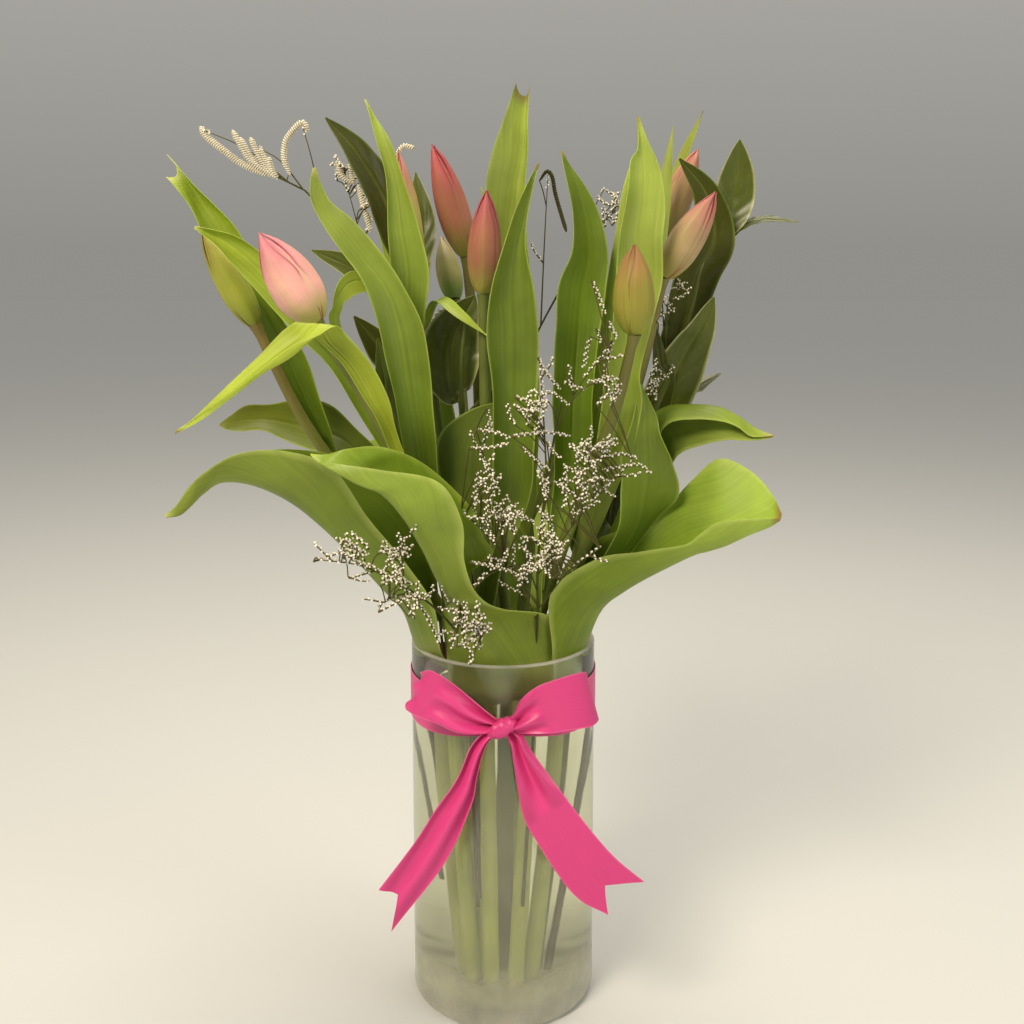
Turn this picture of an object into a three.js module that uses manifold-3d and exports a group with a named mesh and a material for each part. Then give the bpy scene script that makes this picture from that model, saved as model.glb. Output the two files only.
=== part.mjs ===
// Tulips in a glass cylinder vase, with a satin ribbon bow, broad-leaved greenery and sea lavender.
// Millimetres, +Z up, +X to the right, the front of the bouquet towards -Y.
// The origin is the centre of the vase's flat bottom.

import * as THREE from "three";
import { mergeVertices } from "three/addons/utils/BufferGeometryUtils.js";
import Module from "manifold-3d";

const wasm = await Module();
wasm.setup();

// Driving dimensions of the vase and the water
const VASE_RADIUS = 50;
const VASE_HEIGHT = 200;
const VASE_WALL = 3;
const VASE_BASE = 12;
const VASE_SIDES = 32;
const BASE_ROUND = 4;
const WATER_TOP = 162;
const GAP = 0.3;

// Driving dimensions of the ribbon
const RIBBON_WIDTH = 25;
const RIBBON_THICK = 0.8;
const BAND_HEIGHT = 168;
const KNOT_WIDTH = 9;
const KNOT_DEPTH = -(VASE_RADIUS + 2 * GAP + RIBBON_THICK + KNOT_WIDTH / 2);

// Driving dimensions of the plants
const STEM_FOOT_RADIUS = 3.6;
const STEM_FOOT_GAP = 0.7;
const HOLE_RUN = 1.5;
const STEM_TOP_RADIUS = 2.6;
const STEM_SIDES = 6;
const STEM_STEPS = 7;
const LEAF_THICK = 0.8;
const LEAF_COLUMNS = 4;
const SHEATH_HALF = 5.5;
const FOOT_CENTRE = [-3, -4];
const FOOT_SCALE = 0.45;
const SPRAY_FOOT = 60;
const WOODY_RADIUS = 1.7;
const WOODY_SIDES = 5;
const SPRAY_RADIUS = 0.9;
const SPRAY_SIDES = 5;
const SPRAY_STEPS = 10;
const FLORET_PITCH = 20;
const FLORET_RADIUS = 1.7;

// Each tulip: where its stem crosses the rim's height, the points above it, and its bud.
const tulips = [
  { name: "01", neck: [-24.6, -17.2], up: [[-39, -44, 275], [-64, -56, 332]], base: [-89, -62, 376],
    tip: [-114, -72, 419], radius: 12, turn: 20, colour: "#F08C94" },
  { name: "02", neck: [-29.3, 6.2], up: [[-69, -14, 268], [-104, -20, 323]], base: [-128, -18, 372],
    tip: [-154, -22, 421], radius: 7.8, turn: 50, colour: "#A9B446" },
  { name: "03", neck: [-9, -4], up: [[-30, 2, 292], [-40, 6, 346]], base: [-47, 9, 395],
    tip: [-56, 14, 464], radius: 7.6, turn: 80, colour: "#E3B98A" },
  { name: "04", neck: [2, 10], up: [[-11, 22, 283], [-15, 32, 349]], base: [-21, 38, 407],
    tip: [-39, 30, 469], radius: 8.8, turn: 10, colour: "#D9756B" },
  { name: "05", neck: [-7.8, -29], up: [[-6, -20, 280], [-9, -20, 333]], base: [-10, -18, 388],
    tip: [-8, -22, 441], radius: 8.5, turn: 30, colour: "#D47F63" },
  { name: "06", neck: [15, -26], up: [[37, -46, 280], [54, -64, 331]], base: [63, -72, 371],
    tip: [62, -78, 414], radius: 9.6, turn: 60, colour: "#A39A4C" },
  { name: "07", neck: [28.2, -10.3], up: [[50, -14, 275], [72, -10, 344]], base: [82, -26, 397],
    tip: [107, -34, 440], radius: 8.6, turn: 0, colour: "#EBC3A0" },
  { name: "08", neck: [27.8, 11.2], up: [[53, 16, 272], [75, 20, 356]], base: [88, 22, 420],
    tip: [107, 28, 466], radius: 8, turn: 40, colour: "#B08A6A" },
  { name: "09", neck: [-14.1, 26.5], up: [[-19, 44, 267], [-24, 60, 323]], base: [-29, 70, 381],
    tip: [-38, 90, 419], radius: 7.2, turn: 20, colour: "#D8BFA0" },
  { name: "10", neck: [10.3, 28.2], up: [[26, 50, 277], [52, 66, 334]], base: [79, 80, 385],
    tip: [80, 96, 437], radius: 8.6, turn: 70, colour: "#DD8078" },
];

// Each tulip leaf: its stem and the height of its root there, the compass side of the stem that it
// leaves from, and the points of its midrib. A folded or twisted leaf also has the points of its two
// margins, matched to the midrib's one by one. A plain leaf has its width, the directions that its
// inner side looks in from root to tip, and half the angle of its channel from root to tip, in radians.
const leaves = [
  { name: "01", stem: 1, z: 232, side: 100, waves: [0.8, 3, 0.1],
    near: [[-94, 2, 297], [-102, -4, 315], [-112, -6, 332], [-123, -8, 352], [-132, -6, 374],
      [-145, -6, 395], [-156, -6, 414], [-159, -6, 424], [-163, -6, 433], [-169, -6, 441],
      [-175, -6, 448]],
    path: [[-93, 10, 297], [-99, 6, 312], [-108, 4, 333], [-117, 2, 356], [-126, 4, 376],
      [-138, 4, 395], [-147, 4, 412], [-154, 4, 425], [-160, 4, 434], [-165, 3, 443], [-171, 1, 451]],
    far: [[-86, 6, 296], [-93, 2, 314], [-100, 0, 335], [-107, -2, 358], [-117, 0, 374],
      [-126, 0, 392], [-135, 0, 411], [-142, 0, 423], [-153, 0, 435], [-162, 0, 444], [-176, 0, 460]] },
  { name: "02", stem: 0, z: 285, side: 100, waves: [0.6, 2, 0.3],
    near: [[-82, -46, 347], [-98, -46, 364], [-112, -46, 380], [-123, -46, 393], [-132, -46, 403],
      [-140, -46, 412], [-146, -46, 417], [-151, -46, 421]],
    path: [[-80, -38, 348], [-96, -36, 368], [-108, -36, 385], [-119, -37, 397], [-129, -38, 407],
      [-139, -40, 415], [-145, -42, 418], [-151, -45, 421]],
    far: [[-76, -36, 347], [-90, -34, 370], [-99, -34, 386], [-110, -36, 400], [-121, -38, 410],
      [-131, -42, 417], [-141, -44, 420], [-151, -45, 422]] },
  { name: "03", stem: 0, z: 258, side: 270, waves: [0.5, 2, 0.2],
    near: [[-58, -62, 321], [-67, -68, 340], [-76, -72, 357], [-86, -76, 368], [-94, -80, 376],
      [-100, -85, 374], [-111, -86, 363], [-123, -85, 352], [-136, -83, 340], [-148, -81, 329],
      [-154, -80, 325]],
    path: [[-55, -57, 319], [-63, -62, 338], [-72, -66, 355], [-82, -71, 367], [-86, -79, 376],
      [-92, -86, 370], [-102, -88, 363], [-115, -87, 353], [-129, -84, 342], [-143, -81, 332],
      [-154, -80, 325]],
    far: [[-50, -60, 318], [-55, -66, 339], [-63, -70, 357], [-73, -74, 370], [-77, -79, 375],
      [-84, -86, 372], [-97, -87, 361], [-111, -86, 353], [-126, -83, 342], [-141, -81, 331],
      [-154, -80, 324]] },
  { name: "04", stem: 2, z: 225, side: 235, waves: [0.8, 3, 0.5],
    near: [[-45, -34, 278], [-50, -42, 310], [-55, -46, 341], [-60, -48, 371], [-67, -48, 392],
      [-79, -46, 409], [-88, -43, 422], [-94, -40, 434], [-95, -38, 444], [-94, -36, 450]],
    path: [[-39, -26, 275], [-43, -34, 309], [-47, -38, 341], [-51, -40, 370], [-58, -40, 391],
      [-70, -40, 407], [-81, -39, 421], [-90, -37, 432], [-92, -36, 442], [-93, -36, 451]],
    far: [[-30, -30, 278], [-33, -38, 312], [-36, -42, 344], [-39, -42, 371], [-48, -40, 391],
      [-60, -40, 409], [-74, -38, 425], [-85, -36, 434], [-90, -35, 443], [-92, -36, 450]] },
  { name: "05", stem: 2, z: 244, side: 200, waves: [0.6, 3, 0.2],
    near: [[-45, -16, 303], [-55, -22, 343], [-57, -24, 375], [-57, -24, 400], [-58, -23, 423],
      [-59, -21, 446], [-64, -17, 464], [-68, -13, 479], [-71, -10, 487]],
    path: [[-39, -11, 302], [-49, -17, 343], [-50, -18, 374], [-49, -18, 399], [-52, -18, 421],
      [-55, -17, 444], [-61, -15, 464], [-67, -12, 478], [-70, -10, 487]],
    far: [[-33, -14, 304], [-41, -21, 343], [-40, -22, 375], [-38, -22, 399], [-43, -21, 423],
      [-50, -19, 445], [-57, -16, 465], [-65, -12, 478], [-70, -10, 487]] },
  { name: "06", stem: 0, z: 306, side: 60, waves: [0.3, 2, 0.4],
    near: [[-83, -50, 369], [-83, -50, 383], [-81, -48, 393], [-76, -46, 399], [-70, -42, 400],
      [-62, -34, 398], [-50, -26, 391]],
    path: [[-81, -47, 368], [-82, -46, 383], [-79, -45, 391], [-74, -43, 395], [-68, -40, 395],
      [-60, -32, 394], [-50, -26, 390]],
    far: [[-78, -46, 368], [-79, -45, 382], [-76, -44, 386], [-71, -42, 389], [-64, -38, 390],
      [-57, -31, 389], [-50, -26, 390]] },
  { name: "07", stem: 2, z: 362, side: 320, width: 8, waves: [0.3, 2, 0],
    path: [[-34, -8, 384], [-22, -20, 377], [-8, -27, 367]],
    face: [[-0.4, 0.3, 0.9], [-0.2, -0.5, 0.9]], curl: [0.6, 0.3] },
  { name: "08", stem: 3, z: 235, side: 290, waves: [0.6, 3, 0.3],
    near: [[-8, 2, 292], [-7, 0, 330], [-7, 0, 379], [-8, 0, 415], [-9, 0, 443], [-6, 2, 460],
      [0, 3, 477], [7, 4, 497]],
    path: [[0, 8, 291], [2, 8, 329], [3, 9, 378], [4, 10, 416], [6, 10, 442], [9, 10, 460],
      [10, 9, 476], [11, 8, 491]],
    far: [[9, 4, 291], [12, 4, 330], [15, 4, 378], [13, 4, 416], [12, 4, 442], [13, 4, 463],
      [13, 4, 478], [14, 5, 496]] },
  { name: "09", stem: 4, z: 232, side: 330, waves: [0.6, 2, 0.1],
    near: [[-5, -42, 284], [-5, -48, 311], [-5, -52, 342], [-7, -52, 369], [-5, -52, 391],
      [1, -50, 413], [6, -47, 429], [12, -43, 442], [17, -38, 452]],
    path: [[4, -32, 280], [5, -38, 309], [5, -42, 340], [5, -43, 368], [4, -43, 391], [6, -43, 410],
      [10, -42, 425], [14, -40, 441], [18, -38, 453]],
    far: [[14, -38, 284], [16, -44, 310], [17, -47, 341], [18, -48, 369], [16, -48, 391],
      [12, -47, 410], [12, -44, 424], [15, -41, 440], [18, -38, 452]] },
  { name: "10", stem: 5, z: 236, side: 150, waves: [0.8, 3, 0.6],
    near: [[26, -32, 293], [26, -40, 335], [26, -44, 371], [28, -45, 393], [35, -44, 410],
      [35, -42, 427], [32, -40, 443], [30, -38, 453], [29, -36, 459]],
    path: [[34, -26, 291], [36, -32, 333], [38, -36, 368], [40, -37, 391], [43, -37, 409],
      [41, -36, 426], [37, -35, 442], [32, -35, 453], [30, -36, 459]],
    far: [[43, -30, 292], [46, -36, 335], [49, -38, 370], [52, -38, 393], [53, -37, 409],
      [49, -35, 427], [42, -34, 441], [34, -34, 452], [30, -36, 459]] },
  { name: "11", stem: 6, z: 240, side: 250, waves: [0.6, 3, 0.2],
    near: [[44, -42, 295], [49, -48, 326], [51, -52, 352], [54, -52, 376], [56, -52, 400],
      [58, -52, 420], [61, -52, 439], [62, -51, 453], [66, -48, 460], [66, -45, 474]],
    path: [[52, -34, 291], [58, -40, 325], [60, -44, 351], [64, -44, 376], [67, -44, 398],
      [66, -44, 418], [68, -44, 437], [68, -45, 450], [67, -45, 461], [66, -45, 475]],
    far: [[62, -38, 299], [70, -42, 331], [69, -46, 350], [75, -46, 378], [79, -46, 396],
      [79, -46, 416], [80, -46, 432], [77, -46, 450], [71, -46, 463], [67, -45, 474]] },
  { name: "12", stem: 7, z: 246, side: 290, width: 20, waves: [0.6, 2, 0.5],
    path: [[45, -3, 278], [51, -15, 318], [58, -26, 360], [62, -30, 410], [63, -30, 440], [66, -28, 458]],
    face: [[-0.3, 0.9, 0], [-0.3, 0.9, 0]], curl: [0.8, 0.6, 0.7] },
  { name: "13", stem: 7, z: 262, side: 70, width: 18, waves: [0.6, 3, 0.4],
    path: [[66, 34, 308], [79, 42, 371], [91, 45, 421], [100, 45, 458], [107, 43, 477], [111, 41, 487]],
    face: [[-0.4, -0.9, 0], [-0.5, -0.8, 0.1]], curl: [0.8, 0.6, 0.5] },
  { name: "14", stem: 7, z: 318, side: 290, width: 13, waves: [0.4, 2, 0.1],
    path: [[72, 6, 356], [79, 2, 400], [85, 4, 440], [90, 6, 475]],
    face: [[0, 1, 0], [0.1, 1, 0]], curl: [0.8, 0.5, 0.5] },
  { name: "15", stem: 0, z: 176, side: 215, waves: [0.8, 2, 0.2],
    near: [[-32, -34, 202], [-35, -44, 230], [-47, -52, 253], [-66, -62, 280], [-82, -70, 306],
      [-104, -74, 315], [-126, -76, 314], [-142, -76, 305], [-151, -74, 296], [-157, -72, 288],
      [-163, -71, 283]],
    path: [[-44, -14, 194], [-52, -24, 221], [-62, -33, 237], [-80, -43, 262], [-101, -52, 283],
      [-120, -59, 295], [-136, -63, 298], [-145, -67, 293], [-151, -69, 287], [-156, -70, 283],
      [-162, -71, 282]],
    far: [[-39, 6, 196], [-36, -2, 229], [-42, -12, 254], [-55, -24, 283], [-80, -36, 304],
      [-105, -46, 311], [-128, -56, 310], [-144, -62, 303], [-153, -66, 295], [-157, -69, 287],
      [-163, -70, 283]] },
  { name: "16", stem: 4, z: 165, side: 285, waves: [0.8, 2, 0.6],
    near: [[22, -36, 182], [28, -30, 201], [25, -38, 222], [1, -60, 232], [-12, -68, 243],
      [-18, -74, 261], [-19, -80, 282], [-30, -84, 302], [-57, -86, 308], [-74, -84, 310],
      [-84, -80, 311], [-90, -77, 314]],
    path: [[-1, -43, 182], [-6, -44, 199], [-18, -49, 219], [-27, -57, 236], [-32, -62, 252],
      [-38, -67, 267], [-47, -74, 284], [-59, -80, 297], [-71, -83, 304], [-81, -82, 309],
      [-87, -79, 311], [-91, -77, 314]],
    far: [[-25, -36, 181], [-30, -30, 203], [-31, -36, 224], [-21, -38, 241], [-5, -44, 256],
      [-9, -52, 267], [-14, -62, 284], [-36, -70, 307], [-56, -76, 317], [-72, -79, 317],
      [-83, -78, 314], [-90, -77, 314]] },
  { name: "17", stem: 6, z: 172, side: 325, waves: [0.8, 2, 0.9],
    near: [[26, -34, 183], [26, -36, 204], [25, -44, 237], [47, -50, 256], [69, -54, 261],
      [90, -56, 264], [98, -60, 271], [106, -62, 277], [121, -62, 279], [130, -60, 279], [137, -56, 278]],
    path: [[41, -16, 178], [43, -17, 195], [51, -24, 221], [63, -30, 234], [77, -36, 245],
      [96, -42, 257], [104, -46, 261], [113, -49, 265], [125, -52, 271], [133, -54, 274],
      [138, -55, 277]],
    far: [[34, -3, 176], [31, -1, 195], [31, -4, 235], [48, -10, 255], [66, -16, 264], [83, -20, 273],
      [98, -22, 290], [112, -26, 303], [127, -34, 298], [136, -44, 288], [139, -54, 280]] },
  { name: "18", stem: 6, z: 200, side: 300, waves: [0.8, 2, 0.3],
    near: [[45, -36, 244], [59, -42, 269], [60, -46, 293], [59, -46, 308], [64, -44, 322],
      [67, -42, 333], [69, -39, 341]],
    path: [[50, -26, 237], [68, -30, 266], [73, -34, 289], [73, -36, 307], [72, -38, 320],
      [72, -38, 330], [70, -38, 343]],
    far: [[58, -20, 237], [80, -24, 270], [91, -30, 285], [87, -36, 302], [80, -40, 317],
      [78, -38, 327], [71, -38, 341]] },
  { name: "19", stem: 6, z: 208, side: 20, waves: [0.6, 2, 0.1],
    near: [[66, -14, 268], [79, -24, 307], [85, -28, 321], [99, -30, 324], [113, -30, 323],
      [121, -30, 320], [128, -29, 315], [138, -28, 315]],
    path: [[63, -4, 270], [79, -8, 315], [87, -10, 325], [101, -14, 327], [113, -18, 327],
      [123, -21, 323], [132, -24, 318], [140, -27, 315]],
    far: [[69, -10, 263], [87, -20, 296], [93, -22, 305], [104, -26, 310], [116, -28, 313],
      [123, -29, 313], [132, -28, 313], [139, -27, 314]] },
  { name: "20", stem: 5, z: 205, side: 215, waves: [0.2, 2, 0],
    near: [[14, -44, 230], [15, -46, 244], [17, -47, 260], [16, -48, 274], [21, -49, 286]],
    path: [[17, -42, 229], [18, -44, 243], [19, -45, 260], [20, -46, 275], [22, -49, 286]],
    far: [[20, -44, 230], [20, -46, 244], [22, -47, 260], [23, -48, 274], [22, -49, 286]] },
  { name: "21", stem: 1, z: 204, side: 120, waves: [0.8, 2, 0.7],
    near: [[-60, 10, 240], [-72, 12, 279], [-90, 10, 299], [-105, 8, 302], [-118, 6, 307],
      [-130, 4, 313], [-142, 2, 313], [-149, 2, 314], [-153, 3, 316]],
    path: [[-58, 16, 243], [-70, 20, 284], [-88, 20, 305], [-104, 18, 311], [-117, 16, 315],
      [-130, 12, 318], [-141, 8, 318], [-148, 5, 317], [-153, 3, 316]],
    far: [[-51, 20, 244], [-62, 26, 287], [-85, 28, 313], [-98, 26, 325], [-113, 22, 328],
      [-128, 16, 326], [-140, 11, 326], [-148, 7, 321], [-153, 3, 317]] },
  { name: "22", stem: 4, z: 200, side: 200, waves: [0.6, 2, 0.4],
    near: [[-17, -34, 251], [-27, -24, 275], [-34, -22, 299], [-32, -22, 316], [-17, -24, 328],
      [1, -30, 334]],
    path: [[-10, -31, 251], [-15, -25, 273], [-17, -24, 297], [-15, -24, 312], [-7, -26, 324],
      [1, -30, 334]],
    far: [[0, -36, 252], [1, -29, 277], [3, -30, 303], [3, -30, 321], [3, -30, 330], [2, -30, 334]] },
  { name: "23", stem: 8, z: 170, side: 110, width: 48, waves: [1.4, 2, 0.3],
    path: [[-14, 41, 201], [-24, 54, 230], [-40, 68, 260], [-58, 82, 283], [-78, 92, 291], [-98, 98, 283]],
    face: [[0.4, -0.9, 0.1], [0.4, -0.5, 0.8], [0, 0, 1]], curl: [0.9, 0.8, 0.6, 0.5] },
  { name: "24", stem: 9, z: 170, side: 65, width: 46, waves: [1.4, 2, 0.8],
    path: [[15, 39, 201], [22, 52, 230], [36, 70, 264], [53, 86, 290], [73, 98, 303], [95, 106, 297]],
    face: [[-0.4, -0.9, 0.1], [-0.4, -0.5, 0.8], [0, 0, 1]], curl: [0.9, 0.8, 0.6, 0.5] },
  { name: "25", stem: 9, z: 238, side: 110, width: 28, waves: [1, 3, 0.2],
    path: [[9, 60, 280], [8, 74, 330], [4, 86, 380], [-4, 94, 420], [-14, 99, 448]],
    face: [[0.1, -1, 0], [0, -0.9, 0.3]], curl: [0.8, 0.7, 0.6] },
  { name: "26", stem: 8, z: 244, side: 135, width: 26, waves: [1, 3, 0.6],
    path: [[-34, 58, 285], [-46, 72, 330], [-57, 84, 372], [-68, 92, 408], [-80, 97, 434]],
    face: [[0.4, -0.9, 0], [0.3, -0.8, 0.3]], curl: [0.8, 0.7, 0.6] },
];

// Each sprig of broad-leaved greenery: its woody stem, and its leaves by midrib and width.
const sprigs = [
  { name: "right", neck: [42, 8], foot: 12,
    up: [[62, 8, 265], [81, 3, 325], [92, 0, 353], [101, 1, 380], [106, 3, 400], [118, 7, 424]],
    leaves: [
      { at: 0.8, path: [[103, 2, 395], [112, 0, 416], [107, 0, 440], [93, 2, 458]], width: 24,
        face: [[-0.3, -1, 0]], curl: 0.35 },
      { at: 0.96, path: [[121, 8, 432], [124, 7, 448], [125, 5, 468]], width: 23,
        face: [[0, -1, 0.1]], curl: 0.5 },
      { at: 0.94, path: [[122, 8, 419], [137, 4, 426], [156, 0, 425]], width: 9,
        face: [[0, -0.5, 0.9]], curl: 0.3 },
      { at: 0.66, path: [[96, -4, 352], [104, -10, 369], [110, -13, 386]], width: 28,
        face: [[0.2, -1, 0.2]], curl: 0.4 },
      { at: 0.56, path: [[85, 0, 333], [83, -8, 352], [79, -13, 373]], width: 15,
        face: [[0, -1, 0]], curl: 0.3 },
      { at: 0.74, path: [[97, 6, 375], [98, 12, 396], [94, 18, 414]], width: 18,
        face: [[0, -1, 0.2]], curl: 0.3 },
      { at: 0.5, path: [[91, 7, 322], [106, 16, 335], [121, 26, 342]], width: 26,
        face: [[0, -0.3, 1]], curl: 0.3 },
      { at: 0.5, path: [[52, 6, 241], [46, 2, 260], [43, -2, 281]], width: 26,
        face: [[0, -1, 0.3]], curl: 0.3 },
    ] },
  { name: "left", neck: [-28, 28], foot: 12,
    up: [[-38, 36, 265], [-48, 36, 330], [-54, 35, 400]],
    leaves: [
      { at: 0.96, path: [[-57, 35, 408], [-66, 34, 438], [-81, 32, 464], [-97, 30, 482]], width: 24,
        face: [[0.5, -0.8, 0.3]], curl: 0.4 },
      { at: 0.9, path: [[-50, 42, 402], [-46, 50, 425], [-50, 55, 454]], width: 19,
        face: [[0, -1, 0.2]], curl: 0.3 },
      { at: 0.7, path: [[-56, 32, 340], [-68, 26, 356], [-82, 22, 374]], width: 26,
        face: [[0.1, -1, 0.3]], curl: 0.3 },
      { at: 0.85, path: [[-62, 32, 384], [-82, 24, 400], [-104, 18, 410]], width: 22,
        face: [[0.1, -0.9, 0.5]], curl: 0.3 },
      { at: 0.62, path: [[-58, 40, 322], [-74, 46, 336], [-92, 52, 344]], width: 26,
        face: [[0.2, -0.4, 0.9]], curl: 0.3 },
      { at: 0.58, path: [[-62, 26, 320], [-66, 22, 342], [-69, 20, 362]], width: 18,
        face: [[0.1, -1, 0.1]], curl: 0.3 },
    ] },
  { name: "front", neck: [-14, -17], foot: 60,
    up: [[-16, -14, 262], [-20, -10, 300], [-22, -6, 345], [-20, -2, 372]],
    leaves: [
      { at: 0.7, path: [[-17, -10, 290], [-9, -9, 314], [1, -7, 340]], width: 30,
        face: [[-0.1, -1, 0.1]], curl: 0.3 },
      { at: 0.86, path: [[-27, 2, 334], [-28, 4, 360], [-15, 6, 386]], width: 33,
        face: [[0.1, -1, 0.1]], curl: 0.4 },
    ] },
];

// Each spray of sea lavender: its stem, and its branches by the share of the stem's length above the
// rim where they leave it, and by where they end.
const sprays = [
  { name: "front", neck: [17, -35], spikes: 2, length: 16, bend: 0.5, seed: 1,
    up: [[18, -43, 226], [18, -54, 258], [22, -66, 300], [28, -74, 338]],
    branches: [[0.28, [-16, -60, 322]], [0.22, [-20, -62, 284]], [0.35, [62, -80, 311]],
      [0.72, [18, -74, 358]], [0.2, [47, -76, 268]], [0.9, [50, -80, 364]], [0.15, [2, -58, 254]]] },
  { name: "left", neck: [-17, -36], spikes: 2, length: 12, bend: 0.4, seed: 2,
    up: [[-24, -47, 218], [-36, -66, 238], [-52, -82, 254]],
    branches: [[0.85, [-86, -90, 266]], [0.9, [-47, -84, 275]], [0.72, [-58, -92, 244]],
      [0.5, [-20, -76, 240]], [0.35, [-8, -72, 226]]] },
  { name: "back_left", neck: [-36, 24], spikes: 2, length: 24, bend: 0.9, seed: 3,
    up: [[-42, 35, 250], [-47, 45, 285], [-54, 52, 322], [-67, 52, 365], [-87, 50, 405], [-108, 50, 439],
      [-119, 48, 447], [-134, 47, 454]],
    branches: [[0.95, [-168, 46, 477]], [0.86, [-112, 46, 478]], [0.92, [-137, 47, 467]],
      [0.66, [-90, 50, 452]]] },
  { name: "right", neck: [40, 20], spikes: 1, length: 13, bend: 0.4, seed: 4,
    up: [[59, 27, 262], [77, 25, 320], [88, 23, 360], [95, 22, 388]],
    branches: [[0.97, [103, 20, 402]], [0.87, [86, 20, 392]], [0.55, [84, 16, 346]],
      [0.93, [112, 19, 440]]] },
  { name: "back", neck: [-1, 33], spikes: 1, length: 18, bend: 0.6, seed: 5,
    up: [[-2, 38, 235], [-3, 46, 268], [10, 50, 340], [36, 44, 395], [46, 40, 415]],
    branches: [[0.97, [56, 34, 444]], [0.92, [67, 36, 436]], [0.76, [25, 42, 452]]] },
];

function mix(a, b, t) {
  return a + (b - a) * t;
}

function point(list) {
  return new THREE.Vector3(list[0], list[1], list[2]);
}

function spline(points) {
  return new THREE.CatmullRomCurve3(points.map(point), false, "catmullrom", 0.5);
}

// A repeatable draw between 0 and 1 for a whole number.
function draw(index) {
  const x = Math.sin(index * 12.9898 + 4.1414) * 43758.5453;
  return x - Math.floor(x);
}

// A value read from an even list at u between 0 and 1.
function along(list, u) {
  const place = Math.min(Math.max(u, 0), 1) * (list.length - 1);
  const index = Math.min(Math.floor(place), list.length - 2);
  if (list.length === 1) {
    return list[0];
  }
  return mix(list[index], list[index + 1], place - index);
}

// The direction that a blade's inner side looks in at u, at a right angle to the midrib.
function facing(faces, u, tangent) {
  const vector = new THREE.Vector3(
    along(faces.map((face) => face[0]), u),
    along(faces.map((face) => face[1]), u),
    along(faces.map((face) => face[2]), u),
  );
  return vector.addScaledVector(tangent, -vector.dot(tangent)).normalize();
}

// A closed mesh from a list of rings with the same number of points, capped at both ends.
function ringsToMesh(rings) {
  const sides = rings[0].length;
  const positions = rings.flat().flatMap((p) => [p.x, p.y, p.z]);
  const triangles = [];
  for (let row = 0; row + 1 < rings.length; row += 1) {
    for (let side = 0; side < sides; side += 1) {
      const a = row * sides + side;
      const b = row * sides + ((side + 1) % sides);
      triangles.push(a, b, a + sides, b, b + sides, a + sides);
    }
  }
  const last = (rings.length - 1) * sides;
  for (let side = 1; side + 1 < sides; side += 1) {
    triangles.push(0, side + 1, side);
    triangles.push(last, last + side, last + side + 1);
  }
  return { positions, triangles };
}

// A solid for joining and cutting, turned the right way out if its volume is negative.
function solid(mesh) {
  const make = (triangles) => new wasm.Manifold(new wasm.Mesh({
    numProp: 3,
    vertProperties: new Float32Array(mesh.positions),
    triVerts: new Uint32Array(triangles),
  }));
  const body = make(mesh.triangles);
  if (body.volume() >= 0) {
    return body;
  }
  const flipped = [];
  for (let i = 0; i < mesh.triangles.length; i += 3) {
    flipped.push(mesh.triangles[i], mesh.triangles[i + 2], mesh.triangles[i + 1]);
  }
  return make(flipped);
}

// The largest connected part of a solid; loose scraps are dropped.
function largest(body) {
  const parts = body.decompose();
  return parts.reduce((best, part) => (part.volume() > best.volume() ? part : best));
}

function joined(bodies) {
  return bodies.reduce((all, body) => all.add(body));
}

// A round tube along a curve, from stations that each give a place on the curve and a radius. Its
// start can run on by a short length before the curve's own start.
function tubeThrough(curve, stations, sides, run = 0) {
  const rings = [];
  let across = new THREE.Vector3(1, 0, 0);
  for (const [u, radius] of stations) {
    const centre = curve.getPointAt(u);
    const tangent = curve.getTangentAt(u);
    if (rings.length === 0) {
      centre.addScaledVector(tangent, -run);
    }
    across = across.clone().addScaledVector(tangent, -across.dot(tangent)).normalize();
    const other = tangent.clone().cross(across);
    const ring = [];
    for (let side = 0; side < sides; side += 1) {
      const angle = (2 * Math.PI * side) / sides;
      ring.push(centre.clone()
        .addScaledVector(across, radius * Math.cos(angle))
        .addScaledVector(other, radius * Math.sin(angle)));
    }
    rings.push(ring);
  }
  return solid(ringsToMesh(rings));
}

// A tube in even steps, its radius read from a list along its length.
function tube(curve, radii, sides, steps, run = 0) {
  const stations = [];
  for (let step = 0; step <= steps; step += 1) {
    stations.push([step / steps, along(radii, step / steps)]);
  }
  return tubeThrough(curve, stations, sides, run);
}

// A thin closed sheet from the points of its two faces, both split into triangles alike.
function sheet(outer, inner, rows, columns) {
  const width = columns + 1;
  const count = outer.length;
  const triangles = [];
  for (let row = 0; row < rows; row += 1) {
    for (let column = 0; column < columns; column += 1) {
      const a = row * width + column;
      const b = a + 1;
      const c = a + width;
      const d = c + 1;
      triangles.push(a, b, c, b, d, c);
      triangles.push(count + a, count + c, count + b, count + b, count + c, count + d);
    }
  }
  const border = [];
  for (let column = 0; column < columns; column += 1) {
    border.push(column);
  }
  for (let row = 0; row < rows; row += 1) {
    border.push(row * width + columns);
  }
  for (let column = columns; column > 0; column -= 1) {
    border.push(rows * width + column);
  }
  for (let row = rows; row > 0; row -= 1) {
    border.push(row * width);
  }
  border.forEach((a, index) => {
    const b = border[(index + 1) % border.length];
    triangles.push(b, a, count + a, b, count + a, count + b);
  });
  return solid({ positions: [...outer, ...inner].flatMap((p) => [p.x, p.y, p.z]), triangles });
}

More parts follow.
